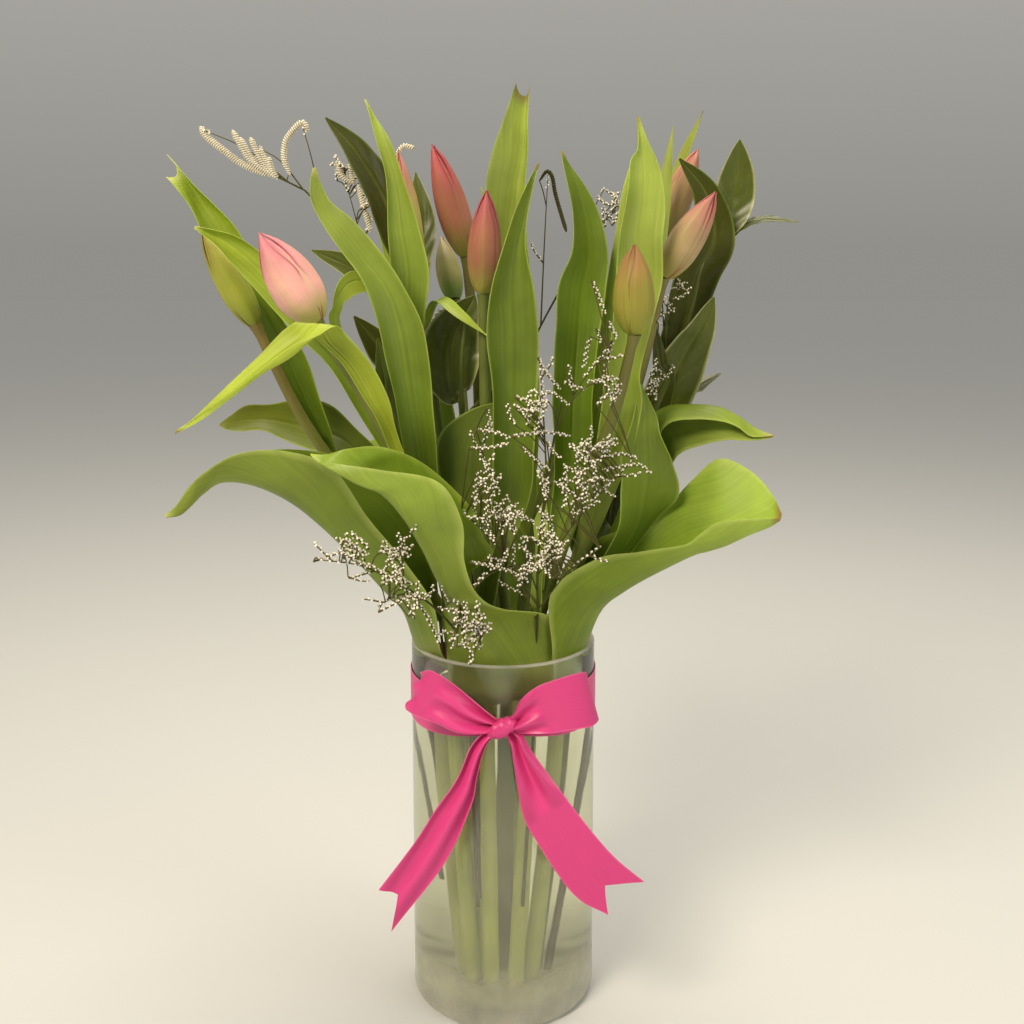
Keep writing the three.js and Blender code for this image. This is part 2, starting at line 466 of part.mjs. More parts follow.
// A blade about a midrib. Across its width it is an arc of half-angle curl, and at u along it the
// half-width is halfWidth(u).
function blade({ curve, halfWidth, faces, curl, waves = [0, 0, 0], rows, columns = LEAF_COLUMNS,
  thick = LEAF_THICK }) {
  const outer = [];
  const inner = [];
  for (let row = 0; row <= rows; row += 1) {
    const u = row / rows;
    const centre = curve.getPointAt(u);
    const tangent = curve.getTangentAt(u);
    const normal = facing(faces, u, tangent);
    const side = tangent.clone().cross(normal);
    const half = halfWidth(u);
    const angle = along(curl, u);
    for (let column = 0; column <= columns; column += 1) {
      const v = (2 * column) / columns - 1;
      const ripple = waves[0] * v * v * Math.sin(2 * Math.PI * (waves[1] * u + waves[2]) + v)
        * Math.sin(Math.PI * u);
      const lift = (half / angle) * (1 - Math.cos(v * angle)) + ripple;
      const middle = centre.clone()
        .addScaledVector(side, (half / angle) * Math.sin(v * angle))
        .addScaledVector(normal, lift);
      const skin = normal.clone().multiplyScalar(Math.cos(v * angle))
        .addScaledVector(side, -Math.sin(v * angle));
      outer.push(middle.clone().addScaledVector(skin, -thick / 2));
      inner.push(middle.clone().addScaledVector(skin, thick / 2));
    }
  }
  return sheet(outer, inner, rows, columns);
}

// A solid of revolution about the Z axis, from a closed profile of [radius, height] points.
function turned(profile, sides = VASE_SIDES) {
  const geometry = new THREE.LatheGeometry(profile.map(([r, z]) => new THREE.Vector2(r, z)), sides);
  geometry.rotateX(Math.PI / 2);
  geometry.deleteAttribute("normal");
  geometry.deleteAttribute("uv");
  const merged = mergeVertices(geometry, 1e-3);
  const position = Array.from(merged.attributes.position.array);
  const triangles = [];
  const index = merged.index.array;
  for (let i = 0; i < index.length; i += 3) {
    const [a, b, c] = [index[i], index[i + 1], index[i + 2]];
    if (a !== b && b !== c && a !== c) {
      triangles.push(a, b, c);
    }
  }
  return solid({ positions: position, triangles });
}

function vaseSolid() {
  const inside = VASE_RADIUS - VASE_WALL;
  const lip = VASE_WALL / 4;
  return turned([
    [0, 0],
    [VASE_RADIUS - BASE_ROUND, 0],
    [VASE_RADIUS - BASE_ROUND / 4, BASE_ROUND / 3],
    [VASE_RADIUS, BASE_ROUND],
    [VASE_RADIUS, VASE_HEIGHT - lip],
    [VASE_RADIUS - lip, VASE_HEIGHT],
    [inside + lip, VASE_HEIGHT],
    [inside, VASE_HEIGHT - lip],
    [inside, VASE_BASE],
    [0, VASE_BASE],
  ]);
}

// Where a stem's line stands on the vase floor, drawn in towards the foot of the bunch.
function stemPoints(neck, foot, up) {
  const drop = (z) => {
    const scale = mix(FOOT_SCALE, 1, (z - VASE_BASE) / (VASE_HEIGHT - VASE_BASE));
    return [
      mix(FOOT_CENTRE[0], neck[0], scale),
      mix(FOOT_CENTRE[1], neck[1], scale),
      z,
    ];
  };
  return [drop(foot), drop(mix(foot, VASE_HEIGHT, 0.5)), drop(VASE_HEIGHT), ...up];
}

const tulipCurves = tulips.map(({ neck, up, base }) => (
  spline([...stemPoints(neck, VASE_BASE + STEM_FOOT_GAP, up), base])));

function tulipStem(index, grow = 0, run = 0) {
  const radii = [STEM_FOOT_RADIUS + grow, STEM_FOOT_RADIUS + grow, STEM_TOP_RADIUS + grow];
  return tube(tulipCurves[index], radii, STEM_SIDES, STEM_STEPS, run);
}

// The point of a curve at a height, found by halving; every stem climbs steadily.
function atHeight(curve, z) {
  let low = 0;
  let high = 1;
  for (let step = 0; step < 30; step += 1) {
    const middle = (low + high) / 2;
    if (curve.getPointAt(middle).z < z) {
      low = middle;
    } else {
      high = middle;
    }
  }
  return (low + high) / 2;
}

// A tulip leaf half sheathes its stem at the root: the first two points of its midrib lie beside the
// stem, out from it by a small gap.
function leafRoot(leaf) {
  const stem = tulipCurves[leaf.stem];
  const u = atHeight(stem, leaf.z);
  const radius = mix(STEM_FOOT_RADIUS, STEM_TOP_RADIUS, Math.max(0, 2 * u - 1));
  const away = radius + GAP + LEAF_THICK / 2 + 0.1;
  const bearing = THREE.MathUtils.degToRad(leaf.side);
  const out = new THREE.Vector3(Math.cos(bearing), Math.sin(bearing), 0);
  const tangent = stem.getTangentAt(u);
  out.addScaledVector(tangent, -out.dot(tangent)).normalize();
  const root = stem.getPointAt(u).addScaledVector(out, away);
  const next = root.clone().addScaledVector(tangent, 7).addScaledVector(out, 0.4);
  return { root, next, out, tangent, away };
}

// A plain leaf swings out from its root along its midrib, widest a little under halfway.
function plainLeaf(leaf, grow) {
  const { root, next, out, away } = leafRoot(leaf);
  const curve = spline([root.toArray(), next.toArray(), ...leaf.path]);
  const half = leaf.width / 2;
  const rootShare = Math.min(0.5, SHEATH_HALF / half);
  const widest = 0.42;
  const halfWidth = (t) => {
    if (t < widest) {
      return half * mix(rootShare, 1, Math.sin((Math.PI / 2) * (t / widest)));
    }
    const taper = Math.cos((Math.PI / 2) * ((t - widest) / (1 - widest)) ** 1.25);
    return Math.max(half * taper, 0.5);
  };
  const sheath = (half * rootShare) / away;
  const inward = out.clone().negate().toArray();
  const blend = Math.min(0.2, 18 / curve.getLength());
  const spread = (list, first) => {
    const even = [];
    for (let i = 0; i <= 20; i += 1) {
      const t = i / 20;
      const share = THREE.MathUtils.smoothstep(t, 0, blend * 1.5);
      const later = Array.isArray(first)
        ? [0, 1, 2].map((axis) => along(list.map((value) => value[axis]), t))
        : along(list, t);
      even.push(Array.isArray(first)
        ? first.map((value, axis) => mix(value, later[axis], share))
        : mix(first, later, share));
    }
    return even;
  };
  return blade({
    curve,
    halfWidth: (t) => halfWidth(t) + grow,
    faces: spread(leaf.face, inward),
    curl: spread(leaf.curl, sheath),
    waves: leaf.waves,
    rows: Math.max(4, Math.round(curve.getLength() / 32) + 1),
    thick: LEAF_THICK + 2 * grow,
  });
}

// A folded or twisted leaf lies on three matched lines: its midrib and its two margins. Across it, v
// runs from -1 at the near margin through 0 at the midrib to 1 at the far one, and each half is a
// parabola that crosses the midrib in the direction from margin to margin.
function foldedLeaf(leaf, grow) {
  const { root, next, out, tangent, away } = leafRoot(leaf);
  const wrap = SHEATH_HALF / away;
  const aside = tangent.clone().cross(out);
  const turned = point(leaf.near[0]).sub(point(leaf.far[0])).dot(aside) < 0 ? -1 : 1;
  const beside = (place, side) => place.clone()
    .addScaledVector(aside, side * turned * away * Math.sin(wrap))
    .addScaledVector(out, -away * (1 - Math.cos(wrap)))
    .toArray();
  const keel = spline([root.toArray(), next.toArray(), ...leaf.path]);
  const near = spline([beside(root, 1), beside(next, 1), ...leaf.near]);
  const far = spline([beside(root, -1), beside(next, -1), ...leaf.far]);
  const at = (t, v) => {
    const middle = keel.getPoint(t);
    const first = near.getPoint(t);
    const last = far.getPoint(t);
    const reach = Math.min(first.distanceTo(middle), last.distanceTo(middle));
    const slope = last.clone().sub(first).normalize().multiplyScalar(reach);
    const bend = (v < 0 ? first.add(slope) : last.sub(slope)).sub(middle);
    return middle.addScaledVector(slope, v).addScaledVector(bend, v * v);
  };
  const rows = leaf.path.length + 1;
  const columns = leaf.path.length < 9 ? 2 : LEAF_COLUMNS;
  const outer = [];
  const inner = [];
  for (let row = 0; row <= rows; row += 1) {
    const t = THREE.MathUtils.clamp(row / rows, 0.001, 0.999);
    const ends = at(t, 1).distanceTo(at(t, -1));
    for (let column = 0; column <= columns; column += 1) {
      const v = (2 * column) / columns - 1;
      const along = at(t + 0.001, v).sub(at(t - 0.001, v)).normalize();
      const sideways = at(t, Math.min(v + 0.05, 1)).sub(at(t, Math.max(v - 0.05, -1))).normalize();
      const skin = along.clone().cross(sideways).normalize();
      const ripple = leaf.waves[0] * v * v * Math.sin(2 * Math.PI * (leaf.waves[1] * t + leaf.waves[2]) + v)
        * Math.sin(Math.PI * t);
      const middle = at(t, v)
        .addScaledVector(sideways, grow * v)
        .addScaledVector(skin, ripple * Math.min(1, ends / 12));
      outer.push(middle.clone().addScaledVector(skin, -LEAF_THICK / 2 - grow));
      inner.push(middle.clone().addScaledVector(skin, LEAF_THICK / 2 + grow));
    }
  }
  return sheet(outer, inner, rows, columns);
}

function leafSolid(leaf, grow = 0) {
  return leaf.near ? foldedLeaf(leaf, grow) : plainLeaf(leaf, grow);
}

// A bud's outline: its share of the greatest radius at s from base to tip.
function budShare(s) {
  if (s < 0.36) {
    return mix(0.45, 1, Math.sin((Math.PI / 2) * (s / 0.36)));
  }
  return Math.max(Math.cos((Math.PI / 2) * ((s - 0.36) / 0.64) ** 1.2), 0.09);
}

function budFrame(tulip) {
  const base = point(tulip.base);
  const axis = point(tulip.tip).sub(base);
  const length = axis.length();
  axis.normalize();
  const across = new THREE.Vector3(1, 0, 0).addScaledVector(axis, -axis.x).normalize();
  const other = axis.clone().cross(across);
  return { base, axis, length, across, other };
}

// Six tepals close over the bud: three outer ones lap over three inner ones. Round the bud, each pair
// has the bearings below, in degrees from the middle of the outer tepal, with its step at the lap.
const TEPAL_STEPS = [[-46, 1.1], [0, 1.6], [46, 1.1], [60, 0.2]];

function bloomSolid(tulip, grow = 0) {
  const frame = budFrame(tulip);
  const turn = THREE.MathUtils.degToRad(tulip.turn);
  const stations = [0, 0.13, 0.36, 0.62, 0.84, 1];
  const rings = stations.map((s) => {
    const ring = [];
    for (let pair = 0; pair < 3; pair += 1) {
      for (const [degrees, lift] of TEPAL_STEPS) {
        const angle = turn + THREE.MathUtils.degToRad(120 * pair + degrees);
        const radius = (tulip.radius - 1) * budShare(s) + lift * Math.min(1, 5 * (1 - s) + 0.15) + grow;
        ring.push(frame.base.clone()
          .addScaledVector(frame.axis, mix(GAP - grow, frame.length + grow, s))
          .addScaledVector(frame.across, radius * Math.cos(angle))
          .addScaledVector(frame.other, radius * Math.sin(angle)));
      }
    }
    return ring;
  });
  return solid(ringsToMesh(rings));
}

function sprigCurve(sprig) {
  return spline(stemPoints(sprig.neck, sprig.foot + STEM_FOOT_GAP, sprig.up));
}

// A leathery oval leaf on a short stalk.
function greenLeaf(sprigLine, leaf, grow = 0) {
  const start = sprigLine.getPointAt(leaf.at).toArray();
  const curve = spline([start, ...leaf.path]);
  const stalk = 5 / curve.getLength();
  const halfWidth = (t) => {
    const share = THREE.MathUtils.clamp((t - stalk) / (1 - stalk), 0, 1);
    const oval = Math.sin(Math.PI * share ** 0.85) ** 0.75;
    return Math.max((leaf.width / 2) * oval, 0.7) + grow;
  };
  return blade({
    curve,
    halfWidth,
    faces: leaf.face,
    curl: [leaf.curl],
    rows: 4,
    columns: 2,
    thick: LEAF_THICK + 2 * grow,
  });
}

function sprigStem(sprig, grow = 0, run = 0) {
  const radii = [WOODY_RADIUS + grow, WOODY_RADIUS + grow, 1 + grow];
  return tube(sprigCurve(sprig), radii, WOODY_SIDES, 8, run);
}

function sprigSolid(sprig, grow = 0) {
  const line = sprigCurve(sprig);
  return joined([sprigStem(sprig, grow), ...sprig.leaves.map((leaf) => greenLeaf(line, leaf, grow))]);
}

// A twig of florets: a three-sided tube that is plain up to bare, then swells at each floret.
function twigSolid(curve, bare) {
  const florets = Math.max(2, Math.round((curve.getLength() * (1 - bare)) / FLORET_PITCH));
  const stations = bare > 0 ? [[0, 0.6], [bare / 2, 0.5]] : [];
  stations.push([bare, 0.45]);
  for (let i = 0; i < florets; i += 1) {
    stations.push([mix(bare, 1, (i + 0.5) / florets), FLORET_RADIUS]);
    stations.push([mix(bare, 1, (i + 1) / florets), i === florets - 1 ? 0.7 : 0.5]);
  }
  return tubeThrough(curve, stations, 3);
}

// The curve of one spike: it leaves the branch sideways and bends over with the branch.
function spikeCurve(branch, at, length, bend, seed) {
  const start = branch.getPointAt(at);
  const tangent = branch.getTangentAt(at);
  const across = new THREE.Vector3(0, -1, 0.3).cross(tangent).normalize();
  across.multiplyScalar(seed % 2 === 0 ? 1 : -1);
  across.y += mix(-0.5, 0.5, draw(seed + 90));
  across.addScaledVector(tangent, -across.dot(tangent)).normalize();
  const reach = length * (0.75 + 0.5 * draw(seed + 50));
  const middle = start.clone().addScaledVector(tangent, reach * 0.4).addScaledVector(across, reach * 0.35);
  const end = middle.clone().addScaledVector(tangent, reach * 0.3)
    .addScaledVector(across, reach * mix(0.45, -0.05, bend));
  return spline([start.toArray(), middle.toArray(), end.toArray()]);
}

function sprayCurve(spray) {
  return spline(stemPoints(spray.neck, SPRAY_FOOT, spray.up));
}

function sprayStem(spray, grow = 0, run = 0) {
  const radii = [SPRAY_RADIUS + grow, SPRAY_RADIUS + grow, 0.6 + grow];
  return tube(sprayCurve(spray), radii, SPRAY_SIDES, SPRAY_STEPS, run);
}

// A point of a spray's stem on the straight piece between two of its steps, inside the tube.
function onSpray(line, u) {
  const step = Math.min(Math.floor(u * SPRAY_STEPS), SPRAY_STEPS - 1);
  const start = line.getPointAt(step / SPRAY_STEPS);
  return start.lerp(line.getPointAt((step + 1) / SPRAY_STEPS), u * SPRAY_STEPS - step);
}

function spraySolid(spray) {
  const line = sprayCurve(spray);
  const rim = atHeight(line, VASE_HEIGHT);
  const bodies = [sprayStem(spray)];
  spray.branches.forEach(([at, end], branchIndex) => {
    const start = onSpray(line, mix(rim, 1, at));
    const bow = start.clone().lerp(point(end), 0.5).add(new THREE.Vector3(0, 0, 4));
    const branch = spline([start.toArray(), bow.toArray(), end]);
    bodies.push(twigSolid(branch, 0.6));
    for (let i = 0; i < spray.spikes; i += 1) {
      const place = mix(0.42, 0.86, i / Math.max(1, spray.spikes - 1));
      const seed = spray.seed * 100 + branchIndex * 10 + i;
      bodies.push(twigSolid(spikeCurve(branch, place, spray.length, spray.bend, seed), 0));
    }
  });
  return largest(joined(bodies));
}

// A ribbon is a thin strip between two matched edges. The fork sets the middle of its end back.
function ribbonStrip({ top, bottom, rows, fork = 0 }) {
  const upper = spline(top);
  const lower = spline(bottom);
  const middle = (t) => upper.getPoint(t).lerp(lower.getPoint(t), 0.5);
  const rings = [];
  for (let row = 0; row <= rows; row += 1) {
    const t = THREE.MathUtils.clamp(row / rows, 0.001, 0.999);
    const across = upper.getPoint(t).sub(lower.getPoint(t)).multiplyScalar(0.5);
    const tangent = middle(t + 0.001).sub(middle(t - 0.001)).normalize();
    const normal = tangent.clone().cross(across).normalize();
    const ring = [];
    for (const [v, side] of [[-1, -1], [0, -1], [1, -1], [1, 1], [0, 1], [-1, 1]]) {
      const back = row === rows && v === 0 ? -fork : 0;
      ring.push(middle(t)
        .addScaledVector(across, v)
        .addScaledVector(tangent, back)
        .addScaledVector(normal, (side * RIBBON_THICK) / 2));
    }
    rings.push(ring);
  }
  return solid(ringsToMesh(rings));
}

// The band round the glass: full width at the back, gathered towards the knot in front.
function bandSolid() {
  const inner = VASE_RADIUS + GAP + 0.1;
  const rings = [];
  for (let step = 0; step < VASE_SIDES; step += 1) {
    const angle = (2 * Math.PI * step) / VASE_SIDES;
    const fromFront = Math.abs(Math.atan2(Math.sin(angle + Math.PI / 2), Math.cos(angle + Math.PI / 2)));
    const gather = Math.exp(-((fromFront / 0.5) ** 2));
    const half = mix(RIBBON_WIDTH / 2, KNOT_WIDTH / 2, gather);
    const centre = mix(BAND_HEIGHT + 4, BAND_HEIGHT, gather);
    rings.push([[inner, -half], [inner + RIBBON_THICK, -half], [inner + RIBBON_THICK, half], [inner, half]]
      .map(([r, z]) => new THREE.Vector3(r * Math.cos(angle), r * Math.sin(angle), centre + z)));
  }
  const positions = rings.flat().flatMap((p) => [p.x, p.y, p.z]);
  const triangles = [];
  for (let step = 0; step < VASE_SIDES; step += 1) {
    for (let side = 0; side < 4; side += 1) {
      const a = step * 4 + side;
      const b = step * 4 + ((side + 1) % 4);
      const c = ((step + 1) % VASE_SIDES) * 4 + side;
      const d = ((step + 1) % VASE_SIDES) * 4 + ((side + 1) % 4);
      triangles.push(a, b, c, b, d, c);
    }
  }
  return solid({ positions, triangles });
}

// The bow: two loops, the knot that they leave from, and two tails with forked ends.
function bowSolid() {
  const left = ribbonStrip({
    top: [[-2, -57, 174], [-8, -59, 180], [-16, -61.5, 188], [-24, -62, 195], [-35, -59, 201],
      [-41, -53, 198], [-39, -49, 196], [-28, -52, 191], [-14, -56, 181], [-2, -55.5, 174]],
    bottom: [[-2, -57, 169], [-11, -60, 169], [-22, -62, 170], [-32, -61, 174], [-44, -57, 177],
      [-49, -51, 178], [-46, -48, 175], [-33, -52, 171], [-16, -56, 169], [-2, -55.5, 169]],
    rows: 8,
  });
  const right = ribbonStrip({
    top: [[2, -57, 174], [5, -59, 178], [9, -61, 186], [17, -63, 194], [27, -63, 198], [37, -60, 200],
      [42, -55, 199], [40, -51, 197], [26, -53, 193], [12, -56, 183], [2, -55.5, 174]],
    bottom: [[2, -57, 169], [7, -60, 168.5], [14, -62, 169], [24, -63, 170], [36, -63, 172],
      [45, -59, 172], [49, -52, 173], [45, -49, 171], [31, -52, 168], [15, -56, 168], [2, -55.5, 169]],
    rows: 8,
  });
  const leftTail = ribbonStrip({
    top: [[-3, -58, 172], [-10, -59.5, 169], [-16, -60, 162], [-23, -61, 145], [-34, -62, 129],
      [-44, -62, 113], [-63, -62, 87]],
    bottom: [[-1, -58, 167], [-7, -59, 163], [-10, -59, 156], [-13, -59.5, 144], [-16, -60, 130],
      [-30, -61, 99], [-57, -61, 63]],
    rows: 7,
    fork: 11,
  });
  const rightTail = ribbonStrip({
    top: [[5, -57.5, 170], [10, -58.5, 167], [14, -60, 160], [25, -61, 145], [44, -63, 120],
      [57, -64, 105], [72, -64, 92]],
    bottom: [[1, -57.5, 167], [5, -58.5, 161], [6, -59, 153], [10, -60, 128], [16, -60, 114],
      [36, -61, 84], [54, -62, 73]],
    rows: 7,
    fork: 12,
  });
  const knotLine = spline([[-7, -56, 166], [-1, KNOT_DEPTH, 170.5], [6, -56, 175]]);
  const knot = tube(knotLine, [3.4, KNOT_WIDTH / 2, 3.4], 6, 4);
  return joined([left, right, leftTail, rightTail, knot]);
}

// Cut a neighbour's clearance out of a piece only where their boxes meet.
function cleared(body, cutters) {
  const box = body.boundingBox();
  let result = body;
  for (const cutter of cutters) {
    const other = cutter.boundingBox();
    const meets = [0, 1, 2].every((axis) => (
      other.min[axis] < box.max[axis] && other.max[axis] > box.min[axis]));
    if (meets) {
      result = result.subtract(cutter);
    }
  }
  return result === body ? body : largest(result);
}

const group = new THREE.Group();

function addNode(name, body, material) {
  const mesh = body.getMesh();
  const geometry = new THREE.BufferGeometry();
  const positions = new Float32Array(mesh.numVert * 3);
  for (let i = 0; i < mesh.numVert; i += 1) {
    for (let axis = 0; axis < 3; axis += 1) {
      positions[3 * i + axis] = mesh.vertProperties[mesh.numProp * i + axis];
    }
  }
  geometry.setAttribute("position", new THREE.BufferAttribute(positions, 3));
  geometry.setIndex(Array.from(mesh.triVerts));
  const node = new THREE.Mesh(geometry, material);
  node.name = name;
  group.add(node);
}

function material(color, roughness, options = {}) {
  return new THREE.MeshStandardMaterial({ color, roughness, metalness: 0, ...options });
}

const glass = material("#DFE3DA", 0.05, { transparent: true, opacity: 0.35 });
const water = material("#CDD2BC", 0.1, { transparent: true, opacity: 0.35 });
const satin = material("#E8508C", 0.35);
const stemGreen = material("#8FA24A", 0.5);
const leafGreen = material("#7C9A35", 0.45);
const woodyGreen = material("#3F4F17", 0.35);
const dryCream = material("#E4DFCB", 0.85);

const CLEAR = GAP + 0.1;
const stemRoom = tulips.map((_, index) => tulipStem(index, CLEAR));
const blooms = tulips.map((tulip) => bloomSolid(tulip));
const bloomRoom = tulips.map((tulip) => bloomSolid(tulip, CLEAR));
const stems = tulips.map((_, index) => cleared(tulipStem(index), [bloomRoom[index]]));
// The vase's wall with its clearance, so that what leans on the rim stays clear of the glass.
const wallRoom = turned([[VASE_RADIUS - VASE_WALL - CLEAR, VASE_HEIGHT / 2],
  [VASE_RADIUS + CLEAR, VASE_HEIGHT / 2], [VASE_RADIUS + CLEAR, VASE_HEIGHT + CLEAR],
  [VASE_RADIUS - VASE_WALL - CLEAR, VASE_HEIGHT + CLEAR],
  [VASE_RADIUS - VASE_WALL - CLEAR, VASE_HEIGHT / 2]]);
const sprigBodies = sprigs.map((sprig) => cleared(sprigSolid(sprig), [...stemRoom, ...bloomRoom]));
const sprigRoom = sprigs.map((sprig) => sprigSolid(sprig, CLEAR));
const sprayBodies = sprays.map((spray) => spraySolid(spray));

addNode("vase", vaseSolid(), glass);

// Holes in the water: each stem with its clearance, run on a little past its foot.
const waterHoles = [
  ...tulips.map((_, index) => tulipStem(index, CLEAR, HOLE_RUN)),
  ...sprigs.map((sprig) => sprigStem(sprig, CLEAR, HOLE_RUN)),
  ...sprays.map((spray) => sprayStem(spray, CLEAR, HOLE_RUN)),
];
const waterRadius = VASE_RADIUS - VASE_WALL - GAP;
const waterBody = turned([[0, VASE_BASE + GAP], [waterRadius, VASE_BASE + GAP],
  [waterRadius, WATER_TOP], [0, WATER_TOP]]);
addNode("water", cleared(waterBody, waterHoles), water);

addNode("ribbon_band", bandSolid(), satin);
addNode("ribbon_bow", bowSolid(), satin);

tulips.forEach((tulip, index) => {
  addNode(`stem_${tulip.name}`, stems[index], stemGreen);
  addNode(`bloom_${tulip.name}`, blooms[index], material(tulip.colour, 0.5));
});

const earlier = [];
leaves.forEach((leaf) => {
  const room = [wallRoom, ...stemRoom, ...bloomRoom, ...sprigRoom, ...earlier];
  addNode(`leaf_${leaf.name}`, cleared(leafSolid(leaf), room), leafGreen);
  earlier.push(leafSolid(leaf, CLEAR));
});

sprigs.forEach((sprig, index) => {
  addNode(`greenery_${sprig.name}`, sprigBodies[index], woodyGreen);
});

sprays.forEach((spray, index) => {
  const room = [wallRoom, ...stemRoom, ...bloomRoom, ...sprigRoom, ...earlier];
  addNode(`sea_lavender_${spray.name}`, cleared(sprayBodies[index], room), dryCream);
});

export default group;
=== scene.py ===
# %% [markdown]
# # Tulips in a glass vase
# A bunch of closed tulips with their strap leaves, broad-leaved greenery and sea lavender stands in a
# glass cylinder of water, with a satin ribbon tied round it. The lesson builds the bunch piece by piece
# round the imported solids, in their own frame: millimetres in the tables, metres in the meshes.

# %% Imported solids
import math

import bpy
import numpy as np
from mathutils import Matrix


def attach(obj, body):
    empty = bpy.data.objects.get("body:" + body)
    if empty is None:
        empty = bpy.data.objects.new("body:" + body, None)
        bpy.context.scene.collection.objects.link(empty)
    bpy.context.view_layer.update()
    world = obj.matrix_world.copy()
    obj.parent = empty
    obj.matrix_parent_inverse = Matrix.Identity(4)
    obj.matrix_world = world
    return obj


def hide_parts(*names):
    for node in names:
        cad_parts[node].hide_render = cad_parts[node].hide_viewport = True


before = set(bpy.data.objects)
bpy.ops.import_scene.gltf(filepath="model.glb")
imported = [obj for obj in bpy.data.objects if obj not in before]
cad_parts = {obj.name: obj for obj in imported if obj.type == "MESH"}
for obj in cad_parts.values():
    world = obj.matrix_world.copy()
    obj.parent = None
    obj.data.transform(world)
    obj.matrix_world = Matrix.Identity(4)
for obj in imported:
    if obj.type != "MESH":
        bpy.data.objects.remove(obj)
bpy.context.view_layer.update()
MM = 0.001

# %% [markdown]
# ## Camera, light and floor
# A bouquet is photographed from a little above the middle of its flowers. The camera tilts down only a
# few degrees and the lens is shifted down for the rest, so the vase's sides stay nearly upright. Light
# comes from a pale room and three soft lamps, because leaves look like leaves when their shaded sides
# still glow.

# %% Camera
PICTURE = 1024
FOCAL_PIXELS = 1221
HORIZON_ROW = 392
SENSOR = 36
TILT = 6.7
camera = bpy.data.objects.new("camera", bpy.data.cameras.new("camera"))
bpy.context.collection.objects.link(camera)
camera.location = (0.0049, -0.650, 0.411)
camera.rotation_euler = (math.radians(90 - TILT), 0, 0)
camera.data.sensor_width = SENSOR
camera.data.lens = SENSOR * FOCAL_PIXELS / PICTURE
camera.data.shift_y = (HORIZON_ROW - PICTURE / 2) / PICTURE
camera.data.clip_start = 0.01
bpy.context.scene.camera = camera
bpy.context.scene.view_settings.view_transform = "Standard"
print("lens", round(camera.data.lens, 2), "shift", round(camera.data.shift_y, 3))


# %% Colours and shader nodes
def linear(code):
    """Red, green and blue of a hex code: c / 12.92 up to 0.04045, above it ((c + 0.055) / 1.055) ** 2.4."""
    srgb = np.array([int(code[i:i + 2], 16) for i in (1, 3, 5)]) / 255
    return np.where(srgb <= 0.04045, srgb / 12.92, ((srgb + 0.055) / 1.055) ** 2.4)


def rgba(code):
    """The same with a full alpha, for a shader's socket."""
    return (*linear(code), 1.0)


def add_node(tree, kind, inputs=None, **settings):
    """One node: settings are its own properties, inputs its sockets by name or number, each a value or
    a link."""
    node = tree.nodes.new(kind)
    for name, value in settings.items():
        setattr(node, name, value)
    for name, value in (inputs or {}).items():
        if isinstance(value, bpy.types.NodeSocket):
            tree.links.new(value, node.inputs[name])
        else:
            node.inputs[name].default_value = value
    return node


def new_material(name):
    """An empty material and its node tree."""
    material = bpy.data.materials.new(name)
    material.use_nodes = True
    material.node_tree.nodes.clear()
    return material, material.node_tree


# %% Room and lamps
# The room glows evenly; near the horizon it dims to what the far floor gives back.
ROOM_LIGHT = 0.52
HORIZON_LIGHT = 0.32
HORIZON_BAND = 0.35
world = bpy.data.worlds.new("pale room")
world.use_nodes = True
tree = world.node_tree
tree.nodes.clear()
look = add_node(tree, "ShaderNodeTexCoord")
height = add_node(tree, "ShaderNodeSeparateXYZ", {"Vector": look.outputs["Generated"]})
rise = add_node(tree, "ShaderNodeMapRange", {
    "Value": height.outputs["Z"], "From Min": 0.0, "From Max": HORIZON_BAND,
    "To Min": HORIZON_LIGHT, "To Max": ROOM_LIGHT})
room = add_node(tree, "ShaderNodeBackground", {
    "Color": rgba("#F2EFE6"), "Strength": rise.outputs["Result"]})
add_node(tree, "ShaderNodeOutputWorld", {"Surface": room.outputs["Background"]})
bpy.context.scene.world = world

# Of each lamp: its place, how wide its disc is, its watts and its colour. All aim at the middle.
LAMP_AIM = np.array([0.0, 0.0, 0.28])
lamps = {
    "key": ((-0.75, -1.15, 1.45), 0.7, 29.0, "#FFF0D6"),
    "fill": ((1.25, -0.75, 0.75), 0.9, 6.0, "#FFF8EA"),
    "top": ((0.15, 0.35, 1.5), 0.8, 13.0, "#FFF4DC"),
}
for name, (place, size, power, colour) in lamps.items():
    lamp = bpy.data.objects.new(name, bpy.data.lights.new(name, "AREA"))
    lamp.data.shape = "DISK"
    lamp.data.size = size
    lamp.data.energy = power
    lamp.data.color = tuple(linear(colour))
    lamp.location = place
    aim = LAMP_AIM - np.array(place)
    lamp.rotation_euler = (math.atan2(math.hypot(aim[0], aim[1]), -aim[2]), 0, math.atan2(-aim[0], aim[1]))
    bpy.context.collection.objects.link(lamp)

# %% [markdown]
# ## Curves and skins
# Stems, leaves, petals and ribbons are all thin things that follow a line. One kind of line and one kind
# of skin, a grid of quads over rings of points, make every one of them.

# %% Lines
LINE_STEPS = 80


def unit(vectors):
    """Vectors cut or stretched to length one."""
    return vectors / np.maximum(np.linalg.norm(vectors, axis=-1, keepdims=True), 1e-12)


